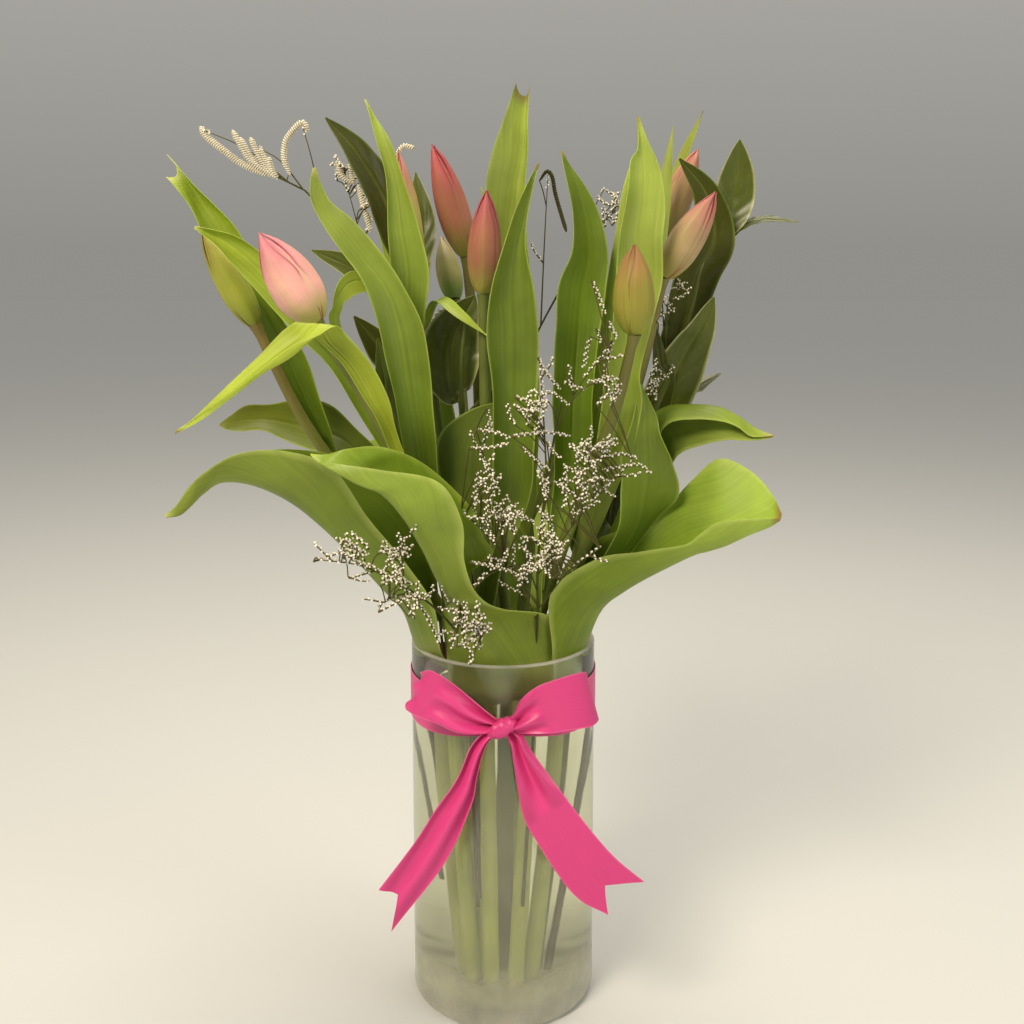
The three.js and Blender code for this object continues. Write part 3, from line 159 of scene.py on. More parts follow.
class Line:
    """A smooth line through points. Between two points it is the cubic whose slope at each one is half
    the step from the point before to the point after. Places 0 to 1 along it are measured by length."""

    def __init__(self, points):
        p = np.array(points, float)
        p = np.vstack([2 * p[0] - p[1], p, 2 * p[-1] - p[-2]])
        t = np.linspace(0, 1, LINE_STEPS, endpoint=False)[None, :, None]
        before, start, end, after = (p[k:len(p) - 3 + k, None, :] for k in range(4))
        cubic = ((2 * t**3 - 3 * t**2 + 1) * start + (t**3 - 2 * t**2 + t) * (end - before) / 2
                 + (3 * t**2 - 2 * t**3) * end + (t**3 - t**2) * (after - start) / 2)
        self.points = np.vstack([cubic.reshape(-1, 3), p[-2]])
        steps = np.linalg.norm(np.diff(self.points, axis=0), axis=1)
        self.run = np.concatenate([[0], np.cumsum(steps)])
        self.length = self.run[-1]
        self.slopes = unit(np.gradient(self.points, self.run, axis=0))

    def read(self, table, u):
        """Rows of a table of the line's own, read at places."""
        s = np.clip(u, 0, 1) * self.length
        return np.stack([np.interp(s, self.run, table[:, k]) for k in range(3)], axis=-1)

    def at(self, u):
        """The point at a place."""
        return self.read(self.points, u)

    def heading(self, u):
        """The way the line runs at a place."""
        return unit(self.read(self.slopes, u))

    def even(self, t):
        """The place at a share of the way counted by points, so that matched lines are read alike."""
        count = np.arange(len(self.points))
        s = np.clip(t, 0, 1) * count[-1]
        return np.stack([np.interp(s, count, self.points[:, k]) for k in range(3)], axis=-1)

    def height(self, z):
        """The place at a height, on a line that climbs steadily."""
        return np.interp(z, self.points[:, 2], self.run) / self.length


def along(values, u):
    """Values spaced evenly from 0 to 1, read at u by straight lines between them."""
    values = np.array(values, float)
    place = np.linspace(0, 1, len(values))
    if values.ndim == 1:
        return np.interp(u, place, values)
    return np.stack([np.interp(u, place, values[:, k]) for k in range(values.shape[1])], axis=-1)


def smooth(x, low=0.0, high=1.0):
    """0 below low, 1 above high, and 3t^2 - 2t^3 between."""
    t = np.clip((x - low) / (high - low), 0, 1)
    return t * t * (3 - 2 * t)


def mix(a, b, t):
    """From a at t = 0 to b at t = 1."""
    return a + (b - a) * t


def draw(index):
    """A repeatable draw between 0 and 1 for a number: the fraction of a large multiple of its sine."""
    x = np.sin(np.asarray(index) * 12.9898 + 4.1414) * 43758.5453
    return x - np.floor(x)


def across(values, u, heading):
    """The chosen directions, made square to the line."""
    wanted = along(values, u)
    return unit(wanted - heading * np.sum(wanted * heading, axis=-1, keepdims=True))


def carried(heading):
    """A direction square to the line, carried along it without twist, step by step from the first."""
    start = unit(np.array([1.0, 0, 0]) - heading[0] * heading[0, 0])
    found = [start]
    for step in heading[1:]:
        found.append(unit(found[-1] - step * np.dot(found[-1], step)))
    return np.array(found)


# %% Skins
def there_and_back(values):
    """Values across a thin sheet, then the same ones backwards for its other face."""
    return np.concatenate([values, values[:, ::-1]], axis=1)


def skin(rings, uv, paint, loop=False):
    """Quads between neighbouring rings (rows, points, 3), with strips of quads that close both ends, or
    with the last ring joined to the first in a loop. A skin with a negative volume is turned over."""
    rows, count = rings.shape[:2]
    row = np.arange(rows if loop else rows - 1)[:, None] * count
    here = np.arange(count)[None, :]
    there = (here + 1) % count
    on = (row + count) % (rows * count)
    quads = [np.stack([row + here, row + there, on + there, on + here], axis=-1).reshape(-1, 4)]
    if not loop:
        j = np.arange(count // 2 - 1)
        last = (rows - 1) * count
        quads.append(np.stack([j, count - 1 - j, count - 2 - j, j + 1], axis=-1))
        quads.append(np.stack([j, j + 1, count - 2 - j, count - 1 - j], axis=-1) + last)
    quads = np.vstack(quads)
    points = rings.reshape(-1, 3)
    a, b, c, d = (points[quads[:, k]] for k in range(4))
    if np.sum(a * (np.cross(b, c) + np.cross(c, d))) < 0:
        quads = quads[:, ::-1]
    paint = np.broadcast_to(paint, rings.shape)
    return {"points": points, "quads": quads, "uv": uv.reshape(-1, 2), "paint": paint.reshape(-1, 3)}


def merged(skins):
    """Several skins as one, each one's quads numbered on from the last."""
    start = np.cumsum([0] + [len(s["points"]) for s in skins[:-1]])
    whole = {key: np.vstack([s[key] for s in skins]) for key in ("points", "uv", "paint")}
    whole["quads"] = np.vstack([s["quads"] + k for s, k in zip(skins, start)])
    return whole


def make_piece(name, surface, material, nodes, sharp=50):
    """A mesh object from a skin in millimetres. It rides on the one body and stands for its solids."""
    mesh = bpy.data.meshes.new(name)
    quads = surface["quads"]
    mesh.vertices.add(len(surface["points"]))
    mesh.vertices.foreach_set("co", (surface["points"] * MM).astype(np.float32).ravel())
    mesh.loops.add(quads.size)
    mesh.loops.foreach_set("vertex_index", quads.astype(np.int32).ravel())
    mesh.polygons.add(len(quads))
    mesh.polygons.foreach_set("loop_start", np.arange(0, quads.size, 4, dtype=np.int32))
    mesh.update(calc_edges=True)
    mesh.polygons.foreach_set("use_smooth", np.ones(len(quads), bool))
    mesh.set_sharp_from_angle(angle=math.radians(sharp))
    chart = mesh.uv_layers.new(name="surface")
    chart.data.foreach_set("uv", surface["uv"][quads.ravel()].astype(np.float32).ravel())
    paint = mesh.color_attributes.new(name="paint", type="FLOAT_COLOR", domain="POINT")
    colours = np.hstack([surface["paint"], np.ones((len(surface["paint"]), 1))])
    paint.data.foreach_set("color", colours.astype(np.float32).ravel())
    mesh.materials.append(material)
    piece = bpy.data.objects.new(name, mesh)
    bpy.context.collection.objects.link(piece)
    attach(piece, "root")
    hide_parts(*nodes)
    print(name, "faces", len(quads))
    return piece


# %% Tubes
TUBE_CHART_RADIUS = 3


def charted(first, second):
    """Chart places in metres, from millimetres down the piece and across it."""
    return np.stack(np.broadcast_arrays(first * MM, second * MM), axis=-1)


def tube(line, radius, sides, u, paint, ridge=0.0):
    """A round skin: radius may be one number a ring or a table of rings by points, and paint one colour,
    one a ring or one a point. ridge raises low ribs along it, as a share of the radius, by the cosine of
    five times the angle."""
    heading = line.heading(u)
    first = carried(heading)[:, None]
    second = np.cross(heading, first[:, 0])[:, None]
    angle = np.linspace(0, 2 * np.pi, sides, endpoint=False)[None, :, None]
    reach = np.broadcast_to(np.asarray(radius, float).reshape(len(u), -1), (len(u), sides))[..., None]
    reach = reach * (1 + ridge * np.cos(5 * angle))
    rings = line.at(u)[:, None] + reach * (first * np.cos(angle) + second * np.sin(angle))
    uv = charted((u * line.length)[:, None], angle[..., 0] * TUBE_CHART_RADIUS)
    return skin(rings, uv, paint[:, None] if paint.ndim == 2 else paint)


# %% [markdown]
# ## The bunch in numbers
# The tables say where each stem passes the vase's rim, which way each leaf grows and turns, and where
# the twigs end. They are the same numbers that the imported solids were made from.

# %% Sizes
# Millimetres, but for the scale by which the stems' feet stand closer than their necks.
VASE_RADIUS = 50
VASE_HEIGHT = 200
VASE_WALL = 3
VASE_BASE = 12
WATER_TOP = 162
STEM_FOOT_GAP = 0.7
STEM_FOOT_RADIUS = 3.6
STEM_TOP_RADIUS = 2.6
FOOT_CENTRE = (-3, -4)
FOOT_SCALE = 0.45
SPRAY_FOOT = 60
LEAF_THICK = 0.8
SHEATH_HALF = 5.5
CLEAR = 0.3

# %% Tulips
# Of each tulip: where its stem passes the rim, the points above it, its bud's foot and tip, how thick
# the bud is and how far it is turned about its own line.
tulips = [
    dict(neck=[-24.6, -17.2], up=[[-39, -44, 275], [-64, -56, 332]], base=[-89, -62, 376],
         tip=[-114, -72, 419], radius=12, turn=20),
    dict(neck=[-29.3, 6.2], up=[[-69, -14, 268], [-104, -20, 323]], base=[-128, -18, 372],
         tip=[-154, -22, 421], radius=7.8, turn=50),
    dict(neck=[-9, -4], up=[[-30, 2, 292], [-40, 6, 346]], base=[-47, 9, 395], tip=[-56, 14, 464],
         radius=7.6, turn=80),
    dict(neck=[2, 10], up=[[-11, 22, 283], [-15, 32, 349]], base=[-21, 38, 407], tip=[-39, 30, 469],
         radius=8.8, turn=10),
    dict(neck=[-7.8, -29], up=[[-6, -20, 280], [-9, -20, 333]], base=[-10, -18, 388], tip=[-8, -22, 441],
         radius=8.5, turn=30),
    dict(neck=[15, -26], up=[[37, -46, 280], [54, -64, 331]], base=[63, -72, 371], tip=[62, -78, 414],
         radius=9.6, turn=60),
    dict(neck=[28.2, -10.3], up=[[50, -14, 275], [72, -10, 344]], base=[82, -26, 397], tip=[107, -34, 440],
         radius=8.6, turn=0),
    dict(neck=[27.8, 11.2], up=[[53, 16, 272], [75, 20, 356]], base=[88, 22, 420], tip=[107, 28, 466],
         radius=8, turn=40),
    dict(neck=[-14.1, 26.5], up=[[-19, 44, 267], [-24, 60, 323]], base=[-29, 70, 381], tip=[-38, 90, 419],
         radius=7.2, turn=20),
    dict(neck=[10.3, 28.2], up=[[26, 50, 277], [52, 66, 334]], base=[79, 80, 385], tip=[80, 96, 437],
         radius=8.6, turn=70),
]

# %% Tulip leaves
# Of each leaf: its stem, the height and the side at which it leaves it, and the size, count and phase of
# its waves. A plain leaf has a path, a width, and the way it faces and curls from root to tip. A folded
# one has a row of nine numbers at each station: a point of its midrib, of one margin and of the other.
leaves = [
    dict(stem=1, z=232, side=100, waves=[0.8, 3, 0.1], stations=[
        [-93, 10, 297, -94, 2, 297, -86, 6, 296], [-99, 6, 312, -102, -4, 315, -93, 2, 314],
        [-108, 4, 333, -112, -6, 332, -100, 0, 335], [-117, 2, 356, -123, -8, 352, -107, -2, 358],
        [-126, 4, 376, -132, -6, 374, -117, 0, 374], [-138, 4, 395, -145, -6, 395, -126, 0, 392],
        [-147, 4, 412, -156, -6, 414, -135, 0, 411], [-154, 4, 425, -159, -6, 424, -142, 0, 423],
        [-160, 4, 434, -163, -6, 433, -153, 0, 435], [-165, 3, 443, -169, -6, 441, -162, 0, 444],
        [-171, 1, 451, -175, -6, 448, -176, 0, 460]]),
    dict(stem=0, z=285, side=100, waves=[0.6, 2, 0.3], stations=[
        [-80, -38, 348, -82, -46, 347, -76, -36, 347], [-96, -36, 368, -98, -46, 364, -90, -34, 370],
        [-108, -36, 385, -112, -46, 380, -99, -34, 386], [-119, -37, 397, -123, -46, 393, -110, -36, 400],
        [-129, -38, 407, -132, -46, 403, -121, -38, 410], [-139, -40, 415, -140, -46, 412, -131, -42, 417],
        [-145, -42, 418, -146, -46, 417, -141, -44, 420],
        [-151, -45, 421, -151, -46, 421, -151, -45, 422]]),
    dict(stem=0, z=258, side=270, waves=[0.5, 2, 0.2], stations=[
        [-55, -57, 319, -58, -62, 321, -50, -60, 318], [-63, -62, 338, -67, -68, 340, -55, -66, 339],
        [-72, -66, 355, -76, -72, 357, -63, -70, 357], [-82, -71, 367, -86, -76, 368, -73, -74, 370],
        [-86, -79, 376, -94, -80, 376, -77, -79, 375], [-92, -86, 370, -100, -85, 374, -84, -86, 372],
        [-102, -88, 363, -111, -86, 363, -97, -87, 361], [-115, -87, 353, -123, -85, 352, -111, -86, 353],
        [-129, -84, 342, -136, -83, 340, -126, -83, 342], [-143, -81, 332, -148, -81, 329, -141, -81, 331],
        [-154, -80, 325, -154, -80, 325, -154, -80, 324]]),
    dict(stem=2, z=225, side=235, waves=[0.8, 3, 0.5], stations=[
        [-39, -26, 275, -45, -34, 278, -30, -30, 278], [-43, -34, 309, -50, -42, 310, -33, -38, 312],
        [-47, -38, 341, -55, -46, 341, -36, -42, 344], [-51, -40, 370, -60, -48, 371, -39, -42, 371],
        [-58, -40, 391, -67, -48, 392, -48, -40, 391], [-70, -40, 407, -79, -46, 409, -60, -40, 409],
        [-81, -39, 421, -88, -43, 422, -74, -38, 425], [-90, -37, 432, -94, -40, 434, -85, -36, 434],
        [-92, -36, 442, -95, -38, 444, -90, -35, 443], [-93, -36, 451, -94, -36, 450, -92, -36, 450]]),
    dict(stem=2, z=244, side=200, waves=[0.6, 3, 0.2], stations=[
        [-39, -11, 302, -45, -16, 303, -33, -14, 304], [-49, -17, 343, -55, -22, 343, -41, -21, 343],
        [-50, -18, 374, -57, -24, 375, -40, -22, 375], [-49, -18, 399, -57, -24, 400, -38, -22, 399],
        [-52, -18, 421, -58, -23, 423, -43, -21, 423], [-55, -17, 444, -59, -21, 446, -50, -19, 445],
        [-61, -15, 464, -64, -17, 464, -57, -16, 465], [-67, -12, 478, -68, -13, 479, -65, -12, 478],
        [-70, -10, 487, -71, -10, 487, -70, -10, 487]]),
    dict(stem=0, z=306, side=60, waves=[0.3, 2, 0.4], stations=[
        [-81, -47, 368, -83, -50, 369, -78, -46, 368], [-82, -46, 383, -83, -50, 383, -79, -45, 382],
        [-79, -45, 391, -81, -48, 393, -76, -44, 386], [-74, -43, 395, -76, -46, 399, -71, -42, 389],
        [-68, -40, 395, -70, -42, 400, -64, -38, 390], [-60, -32, 394, -62, -34, 398, -57, -31, 389],
        [-50, -26, 390, -50, -26, 391, -50, -26, 390]]),
    dict(stem=2, z=362, side=320, width=8, waves=[0.3, 2, 0], curl=[0.6, 0.3],
         face=[[-0.4, 0.3, 0.9], [-0.2, -0.5, 0.9]], path=[[-34, -8, 384], [-22, -20, 377],
         [-8, -27, 367]]),
    dict(stem=3, z=235, side=290, waves=[0.6, 3, 0.3], stations=[
        [0, 8, 291, -8, 2, 292, 9, 4, 291], [2, 8, 329, -7, 0, 330, 12, 4, 330],
        [3, 9, 378, -7, 0, 379, 15, 4, 378], [4, 10, 416, -8, 0, 415, 13, 4, 416],
        [6, 10, 442, -9, 0, 443, 12, 4, 442], [9, 10, 460, -6, 2, 460, 13, 4, 463],
        [10, 9, 476, 0, 3, 477, 13, 4, 478], [11, 8, 491, 7, 4, 497, 14, 5, 496]]),
    dict(stem=4, z=232, side=330, waves=[0.6, 2, 0.1], stations=[
        [4, -32, 280, -5, -42, 284, 14, -38, 284], [5, -38, 309, -5, -48, 311, 16, -44, 310],
        [5, -42, 340, -5, -52, 342, 17, -47, 341], [5, -43, 368, -7, -52, 369, 18, -48, 369],
        [4, -43, 391, -5, -52, 391, 16, -48, 391], [6, -43, 410, 1, -50, 413, 12, -47, 410],
        [10, -42, 425, 6, -47, 429, 12, -44, 424], [14, -40, 441, 12, -43, 442, 15, -41, 440],
        [18, -38, 453, 17, -38, 452, 18, -38, 452]]),
    dict(stem=5, z=236, side=150, waves=[0.8, 3, 0.6], stations=[
        [34, -26, 291, 26, -32, 293, 43, -30, 292], [36, -32, 333, 26, -40, 335, 46, -36, 335],
        [38, -36, 368, 26, -44, 371, 49, -38, 370], [40, -37, 391, 28, -45, 393, 52, -38, 393],
        [43, -37, 409, 35, -44, 410, 53, -37, 409], [41, -36, 426, 35, -42, 427, 49, -35, 427],
        [37, -35, 442, 32, -40, 443, 42, -34, 441], [32, -35, 453, 30, -38, 453, 34, -34, 452],
        [30, -36, 459, 29, -36, 459, 30, -36, 459]]),
    dict(stem=6, z=240, side=250, waves=[0.6, 3, 0.2], stations=[
        [52, -34, 291, 44, -42, 295, 62, -38, 299], [58, -40, 325, 49, -48, 326, 70, -42, 331],
        [60, -44, 351, 51, -52, 352, 69, -46, 350], [64, -44, 376, 54, -52, 376, 75, -46, 378],
        [67, -44, 398, 56, -52, 400, 79, -46, 396], [66, -44, 418, 58, -52, 420, 79, -46, 416],
        [68, -44, 437, 61, -52, 439, 80, -46, 432], [68, -45, 450, 62, -51, 453, 77, -46, 450],
        [67, -45, 461, 66, -48, 460, 71, -46, 463], [66, -45, 475, 66, -45, 474, 67, -45, 474]]),
    dict(stem=7, z=246, side=290, width=20, waves=[0.6, 2, 0.5], curl=[0.8, 0.6, 0.7],
         face=[[-0.3, 0.9, 0], [-0.3, 0.9, 0]], path=[[45, -3, 278], [51, -15, 318], [58, -26, 360],
         [62, -30, 410], [63, -30, 440], [66, -28, 458]]),
    dict(stem=7, z=262, side=70, width=18, waves=[0.6, 3, 0.4], curl=[0.8, 0.6, 0.5],
         face=[[-0.4, -0.9, 0], [-0.5, -0.8, 0.1]], path=[[66, 34, 308], [79, 42, 371], [91, 45, 421],
         [100, 45, 458], [107, 43, 477], [111, 41, 487]]),
    dict(stem=7, z=318, side=290, width=13, waves=[0.4, 2, 0.1], curl=[0.8, 0.5, 0.5],
         face=[[0, 1, 0], [0.1, 1, 0]], path=[[72, 6, 356], [79, 2, 400], [85, 4, 440], [90, 6, 475]]),
    dict(stem=0, z=176, side=215, waves=[0.8, 2, 0.2], stations=[
        [-44, -14, 194, -32, -34, 202, -39, 6, 196], [-52, -24, 221, -35, -44, 230, -36, -2, 229],
        [-62, -33, 237, -47, -52, 253, -42, -12, 254], [-80, -43, 262, -66, -62, 280, -55, -24, 283],
        [-101, -52, 283, -82, -70, 306, -80, -36, 304], [-120, -59, 295, -104, -74, 315, -105, -46, 311],
        [-136, -63, 298, -126, -76, 314, -128, -56, 310], [-145, -67, 293, -142, -76, 305, -144, -62, 303],
        [-151, -69, 287, -151, -74, 296, -153, -66, 295], [-156, -70, 283, -157, -72, 288, -157, -69, 287],
        [-162, -71, 282, -163, -71, 283, -163, -70, 283]]),
    dict(stem=4, z=165, side=285, waves=[0.8, 2, 0.6], stations=[
        [-1, -43, 182, 22, -36, 182, -25, -36, 181], [-6, -44, 199, 28, -30, 201, -30, -30, 203],
        [-18, -49, 219, 25, -38, 222, -31, -36, 224], [-27, -57, 236, 1, -60, 232, -21, -38, 241],
        [-32, -62, 252, -12, -68, 243, -5, -44, 256], [-38, -67, 267, -18, -74, 261, -9, -52, 267],
        [-47, -74, 284, -19, -80, 282, -14, -62, 284], [-59, -80, 297, -30, -84, 302, -36, -70, 307],
        [-71, -83, 304, -57, -86, 308, -56, -76, 317], [-81, -82, 309, -74, -84, 310, -72, -79, 317],
        [-87, -79, 311, -84, -80, 311, -83, -78, 314], [-91, -77, 314, -90, -77, 314, -90, -77, 314]]),
    dict(stem=6, z=172, side=325, waves=[0.8, 2, 0.9], stations=[
        [41, -16, 178, 26, -34, 183, 34, -3, 176], [43, -17, 195, 26, -36, 204, 31, -1, 195],
        [51, -24, 221, 25, -44, 237, 31, -4, 235], [63, -30, 234, 47, -50, 256, 48, -10, 255],
        [77, -36, 245, 69, -54, 261, 66, -16, 264], [96, -42, 257, 90, -56, 264, 83, -20, 273],
        [104, -46, 261, 98, -60, 271, 98, -22, 290], [113, -49, 265, 106, -62, 277, 112, -26, 303],
        [125, -52, 271, 121, -62, 279, 127, -34, 298], [133, -54, 274, 130, -60, 279, 136, -44, 288],
        [138, -55, 277, 137, -56, 278, 139, -54, 280]]),
    dict(stem=6, z=200, side=300, waves=[0.8, 2, 0.3], stations=[
        [50, -26, 237, 45, -36, 244, 58, -20, 237], [68, -30, 266, 59, -42, 269, 80, -24, 270],
        [73, -34, 289, 60, -46, 293, 91, -30, 285], [73, -36, 307, 59, -46, 308, 87, -36, 302],
        [72, -38, 320, 64, -44, 322, 80, -40, 317], [72, -38, 330, 67, -42, 333, 78, -38, 327],
        [70, -38, 343, 69, -39, 341, 71, -38, 341]]),
    dict(stem=6, z=208, side=20, waves=[0.6, 2, 0.1], stations=[
        [63, -4, 270, 66, -14, 268, 69, -10, 263], [79, -8, 315, 79, -24, 307, 87, -20, 296],
        [87, -10, 325, 85, -28, 321, 93, -22, 305], [101, -14, 327, 99, -30, 324, 104, -26, 310],
        [113, -18, 327, 113, -30, 323, 116, -28, 313], [123, -21, 323, 121, -30, 320, 123, -29, 313],
        [132, -24, 318, 128, -29, 315, 132, -28, 313], [140, -27, 315, 138, -28, 315, 139, -27, 314]]),
    dict(stem=5, z=205, side=215, waves=[0.2, 2, 0], stations=[
        [17, -42, 229, 14, -44, 230, 20, -44, 230], [18, -44, 243, 15, -46, 244, 20, -46, 244],
        [19, -45, 260, 17, -47, 260, 22, -47, 260], [20, -46, 275, 16, -48, 274, 23, -48, 274],
        [22, -49, 286, 21, -49, 286, 22, -49, 286]]),
    dict(stem=1, z=204, side=120, waves=[0.8, 2, 0.7], stations=[
        [-58, 16, 243, -60, 10, 240, -51, 20, 244], [-70, 20, 284, -72, 12, 279, -62, 26, 287],
        [-88, 20, 305, -90, 10, 299, -85, 28, 313], [-104, 18, 311, -105, 8, 302, -98, 26, 325],
        [-117, 16, 315, -118, 6, 307, -113, 22, 328], [-130, 12, 318, -130, 4, 313, -128, 16, 326],
        [-141, 8, 318, -142, 2, 313, -140, 11, 326], [-148, 5, 317, -149, 2, 314, -148, 7, 321],
        [-153, 3, 316, -153, 3, 316, -153, 3, 317]]),
    dict(stem=4, z=200, side=200, waves=[0.6, 2, 0.4], stations=[
        [-10, -31, 251, -17, -34, 251, 0, -36, 252], [-15, -25, 273, -27, -24, 275, 1, -29, 277],
        [-17, -24, 297, -34, -22, 299, 3, -30, 303], [-15, -24, 312, -32, -22, 316, 3, -30, 321],
        [-7, -26, 324, -17, -24, 328, 3, -30, 330], [1, -30, 334, 1, -30, 334, 2, -30, 334]]),
    dict(stem=8, z=170, side=110, width=48, waves=[1.4, 2, 0.3], curl=[0.9, 0.8, 0.6, 0.5],
         face=[[0.4, -0.9, 0.1], [0.4, -0.5, 0.8], [0, 0, 1]], path=[[-14, 41, 201], [-24, 54, 230],
         [-40, 68, 260], [-58, 82, 283], [-78, 92, 291], [-98, 98, 283]]),
    dict(stem=9, z=170, side=65, width=46, waves=[1.4, 2, 0.8], curl=[0.9, 0.8, 0.6, 0.5],
         face=[[-0.4, -0.9, 0.1], [-0.4, -0.5, 0.8], [0, 0, 1]], path=[[15, 39, 201], [22, 52, 230],
         [36, 70, 264], [53, 86, 290], [73, 98, 303], [95, 106, 297]]),
    dict(stem=9, z=238, side=110, width=28, waves=[1, 3, 0.2], curl=[0.8, 0.7, 0.6],
         face=[[0.1, -1, 0], [0, -0.9, 0.3]], path=[[9, 60, 280], [8, 74, 330], [4, 86, 380], [-4, 94, 420],
         [-14, 99, 448]]),
    dict(stem=8, z=244, side=135, width=26, waves=[1, 3, 0.6], curl=[0.8, 0.7, 0.6],
         face=[[0.4, -0.9, 0], [0.3, -0.8, 0.3]], path=[[-34, 58, 285], [-46, 72, 330], [-57, 84, 372],
         [-68, 92, 408], [-80, 97, 434]]),
]
for table in (tulips, leaves):
    for number, row in enumerate(table, 1):
        row["name"] = f"{number:02d}"

# %% Greenery
# Of each sprig: its place at the rim, its foot, the twig's points, and leaves that leave it at a share
# of its length.
sprigs = [
    dict(name="right", neck=[42, 8], foot=12,
         up=[[62, 8, 265], [81, 3, 325], [92, 0, 353], [101, 1, 380], [106, 3, 400], [118, 7, 424]],
         leaves=[
             dict(at=0.8, width=24, curl=0.35, face=[-0.3, -1, 0],
                  path=[[103, 2, 395], [112, 0, 416], [107, 0, 440], [93, 2, 458]]),
             dict(at=0.96, width=23, curl=0.5, face=[0, -1, 0.1],
                  path=[[121, 8, 432], [124, 7, 448], [125, 5, 468]]),
             dict(at=0.94, width=9, curl=0.3, face=[0, -0.5, 0.9],
                  path=[[122, 8, 419], [137, 4, 426], [156, 0, 425]]),
             dict(at=0.66, width=28, curl=0.4, face=[0.2, -1, 0.2],
                  path=[[96, -4, 352], [104, -10, 369], [110, -13, 386]]),
             dict(at=0.56, width=15, curl=0.3, face=[0, -1, 0],
                  path=[[85, 0, 333], [83, -8, 352], [79, -13, 373]]),
             dict(at=0.74, width=18, curl=0.3, face=[0, -1, 0.2],
                  path=[[97, 6, 375], [98, 12, 396], [94, 18, 414]]),
             dict(at=0.5, width=26, curl=0.3, face=[0, -0.3, 1],
                  path=[[91, 7, 322], [106, 16, 335], [121, 26, 342]]),
             dict(at=0.5, width=26, curl=0.3, face=[0, -1, 0.3],
                  path=[[52, 6, 241], [46, 2, 260], [43, -2, 281]]),
         ]),
    dict(name="left", neck=[-28, 28], foot=12,
         up=[[-38, 36, 265], [-48, 36, 330], [-54, 35, 400]],
         leaves=[
             dict(at=0.96, width=24, curl=0.4, face=[0.5, -0.8, 0.3],
                  path=[[-57, 35, 408], [-66, 34, 438], [-81, 32, 464], [-97, 30, 482]]),
             dict(at=0.9, width=19, curl=0.3, face=[0, -1, 0.2],
                  path=[[-50, 42, 402], [-46, 50, 425], [-50, 55, 454]]),
             dict(at=0.7, width=26, curl=0.3, face=[0.1, -1, 0.3],
                  path=[[-56, 32, 340], [-68, 26, 356], [-82, 22, 374]]),
             dict(at=0.85, width=22, curl=0.3, face=[0.1, -0.9, 0.5],
                  path=[[-62, 32, 384], [-82, 24, 400], [-104, 18, 410]]),
             dict(at=0.62, width=26, curl=0.3, face=[0.2, -0.4, 0.9],
                  path=[[-58, 40, 322], [-74, 46, 336], [-92, 52, 344]]),
             dict(at=0.58, width=18, curl=0.3, face=[0.1, -1, 0.1],
                  path=[[-62, 26, 320], [-66, 22, 342], [-69, 20, 362]]),
         ]),
    dict(name="front", neck=[-14, -17], foot=60,
         up=[[-16, -14, 262], [-20, -10, 300], [-22, -6, 345], [-20, -2, 372]],
         leaves=[
             dict(at=0.7, width=30, curl=0.3, face=[-0.1, -1, 0.1],
                  path=[[-17, -10, 290], [-9, -9, 314], [1, -7, 340]]),
             dict(at=0.86, width=33, curl=0.4, face=[0.1, -1, 0.1],
                  path=[[-27, 2, 334], [-28, 4, 360], [-15, 6, 386]]),
         ]),
]

# %% Sea lavender
# Of each spray: its place at the rim, the spikes on a branch (how many, how long, how bent), the pitch
# and size of its florets, how deep its rows are scattered, the main stalk's points, and the branches,
# each by the share of the stalk at which it leaves and by its end.
sprays = [
    dict(name="front", seed=1, neck=[17, -35], spikes=(2, 16, 0.5), florets=(1.25, 0.48), scatter=13,
         up=[[18, -43, 226], [18, -54, 258], [22, -66, 300], [28, -74, 338]],
         branches=[(0.28, [-16, -60, 322]), (0.22, [-20, -62, 284]), (0.35, [62, -80, 311]),
                   (0.72, [18, -74, 358]), (0.2, [47, -76, 268]), (0.9, [50, -80, 364]),
                   (0.15, [2, -58, 254])]),
    dict(name="left", seed=2, neck=[-17, -36], spikes=(2, 12, 0.4), florets=(1.3, 0.5), scatter=13,
         up=[[-24, -47, 218], [-36, -66, 238], [-52, -82, 254]],
         branches=[(0.85, [-86, -90, 266]), (0.9, [-47, -84, 275]), (0.72, [-58, -92, 244]),
                   (0.5, [-20, -76, 240]), (0.35, [-8, -72, 226])]),
    dict(name="back_left", seed=3, neck=[-36, 24], spikes=(0, 0, 0), florets=(1.0, 0.6), scatter=0,
         up=[[-42, 35, 250], [-47, 45, 285], [-54, 52, 322], [-67, 52, 365], [-87, 50, 405],
             [-108, 50, 439], [-119, 48, 447], [-134, 47, 454]],
         branches=[(0.95, [-168, 46, 477]), (0.86, [-112, 46, 478]), (0.92, [-137, 47, 467]),
                   (0.66, [-90, 50, 452])]),
    dict(name="right", seed=4, neck=[40, 20], spikes=(1, 13, 0.4), florets=(1.25, 0.48), scatter=0,
         up=[[59, 27, 262], [77, 25, 320], [88, 23, 360], [95, 22, 388]],
         branches=[(0.97, [103, 20, 402]), (0.87, [86, 20, 392]), (0.55, [84, 16, 346]),
                   (0.93, [112, 19, 440])]),
    dict(name="back", seed=5, neck=[-1, 33], spikes=(1, 18, 0.6), florets=(1.25, 0.48), scatter=0,
         up=[[-2, 38, 235], [-3, 46, 268], [10, 50, 340], [36, 44, 395], [46, 40, 415]],
         branches=[(0.97, [56, 34, 444]), (0.92, [67, 36, 436]), (0.76, [25, 42, 452])]),
]
print("tulips", len(tulips), "leaves", len(leaves), "sprigs", len(sprigs), "sprays", len(sprays))


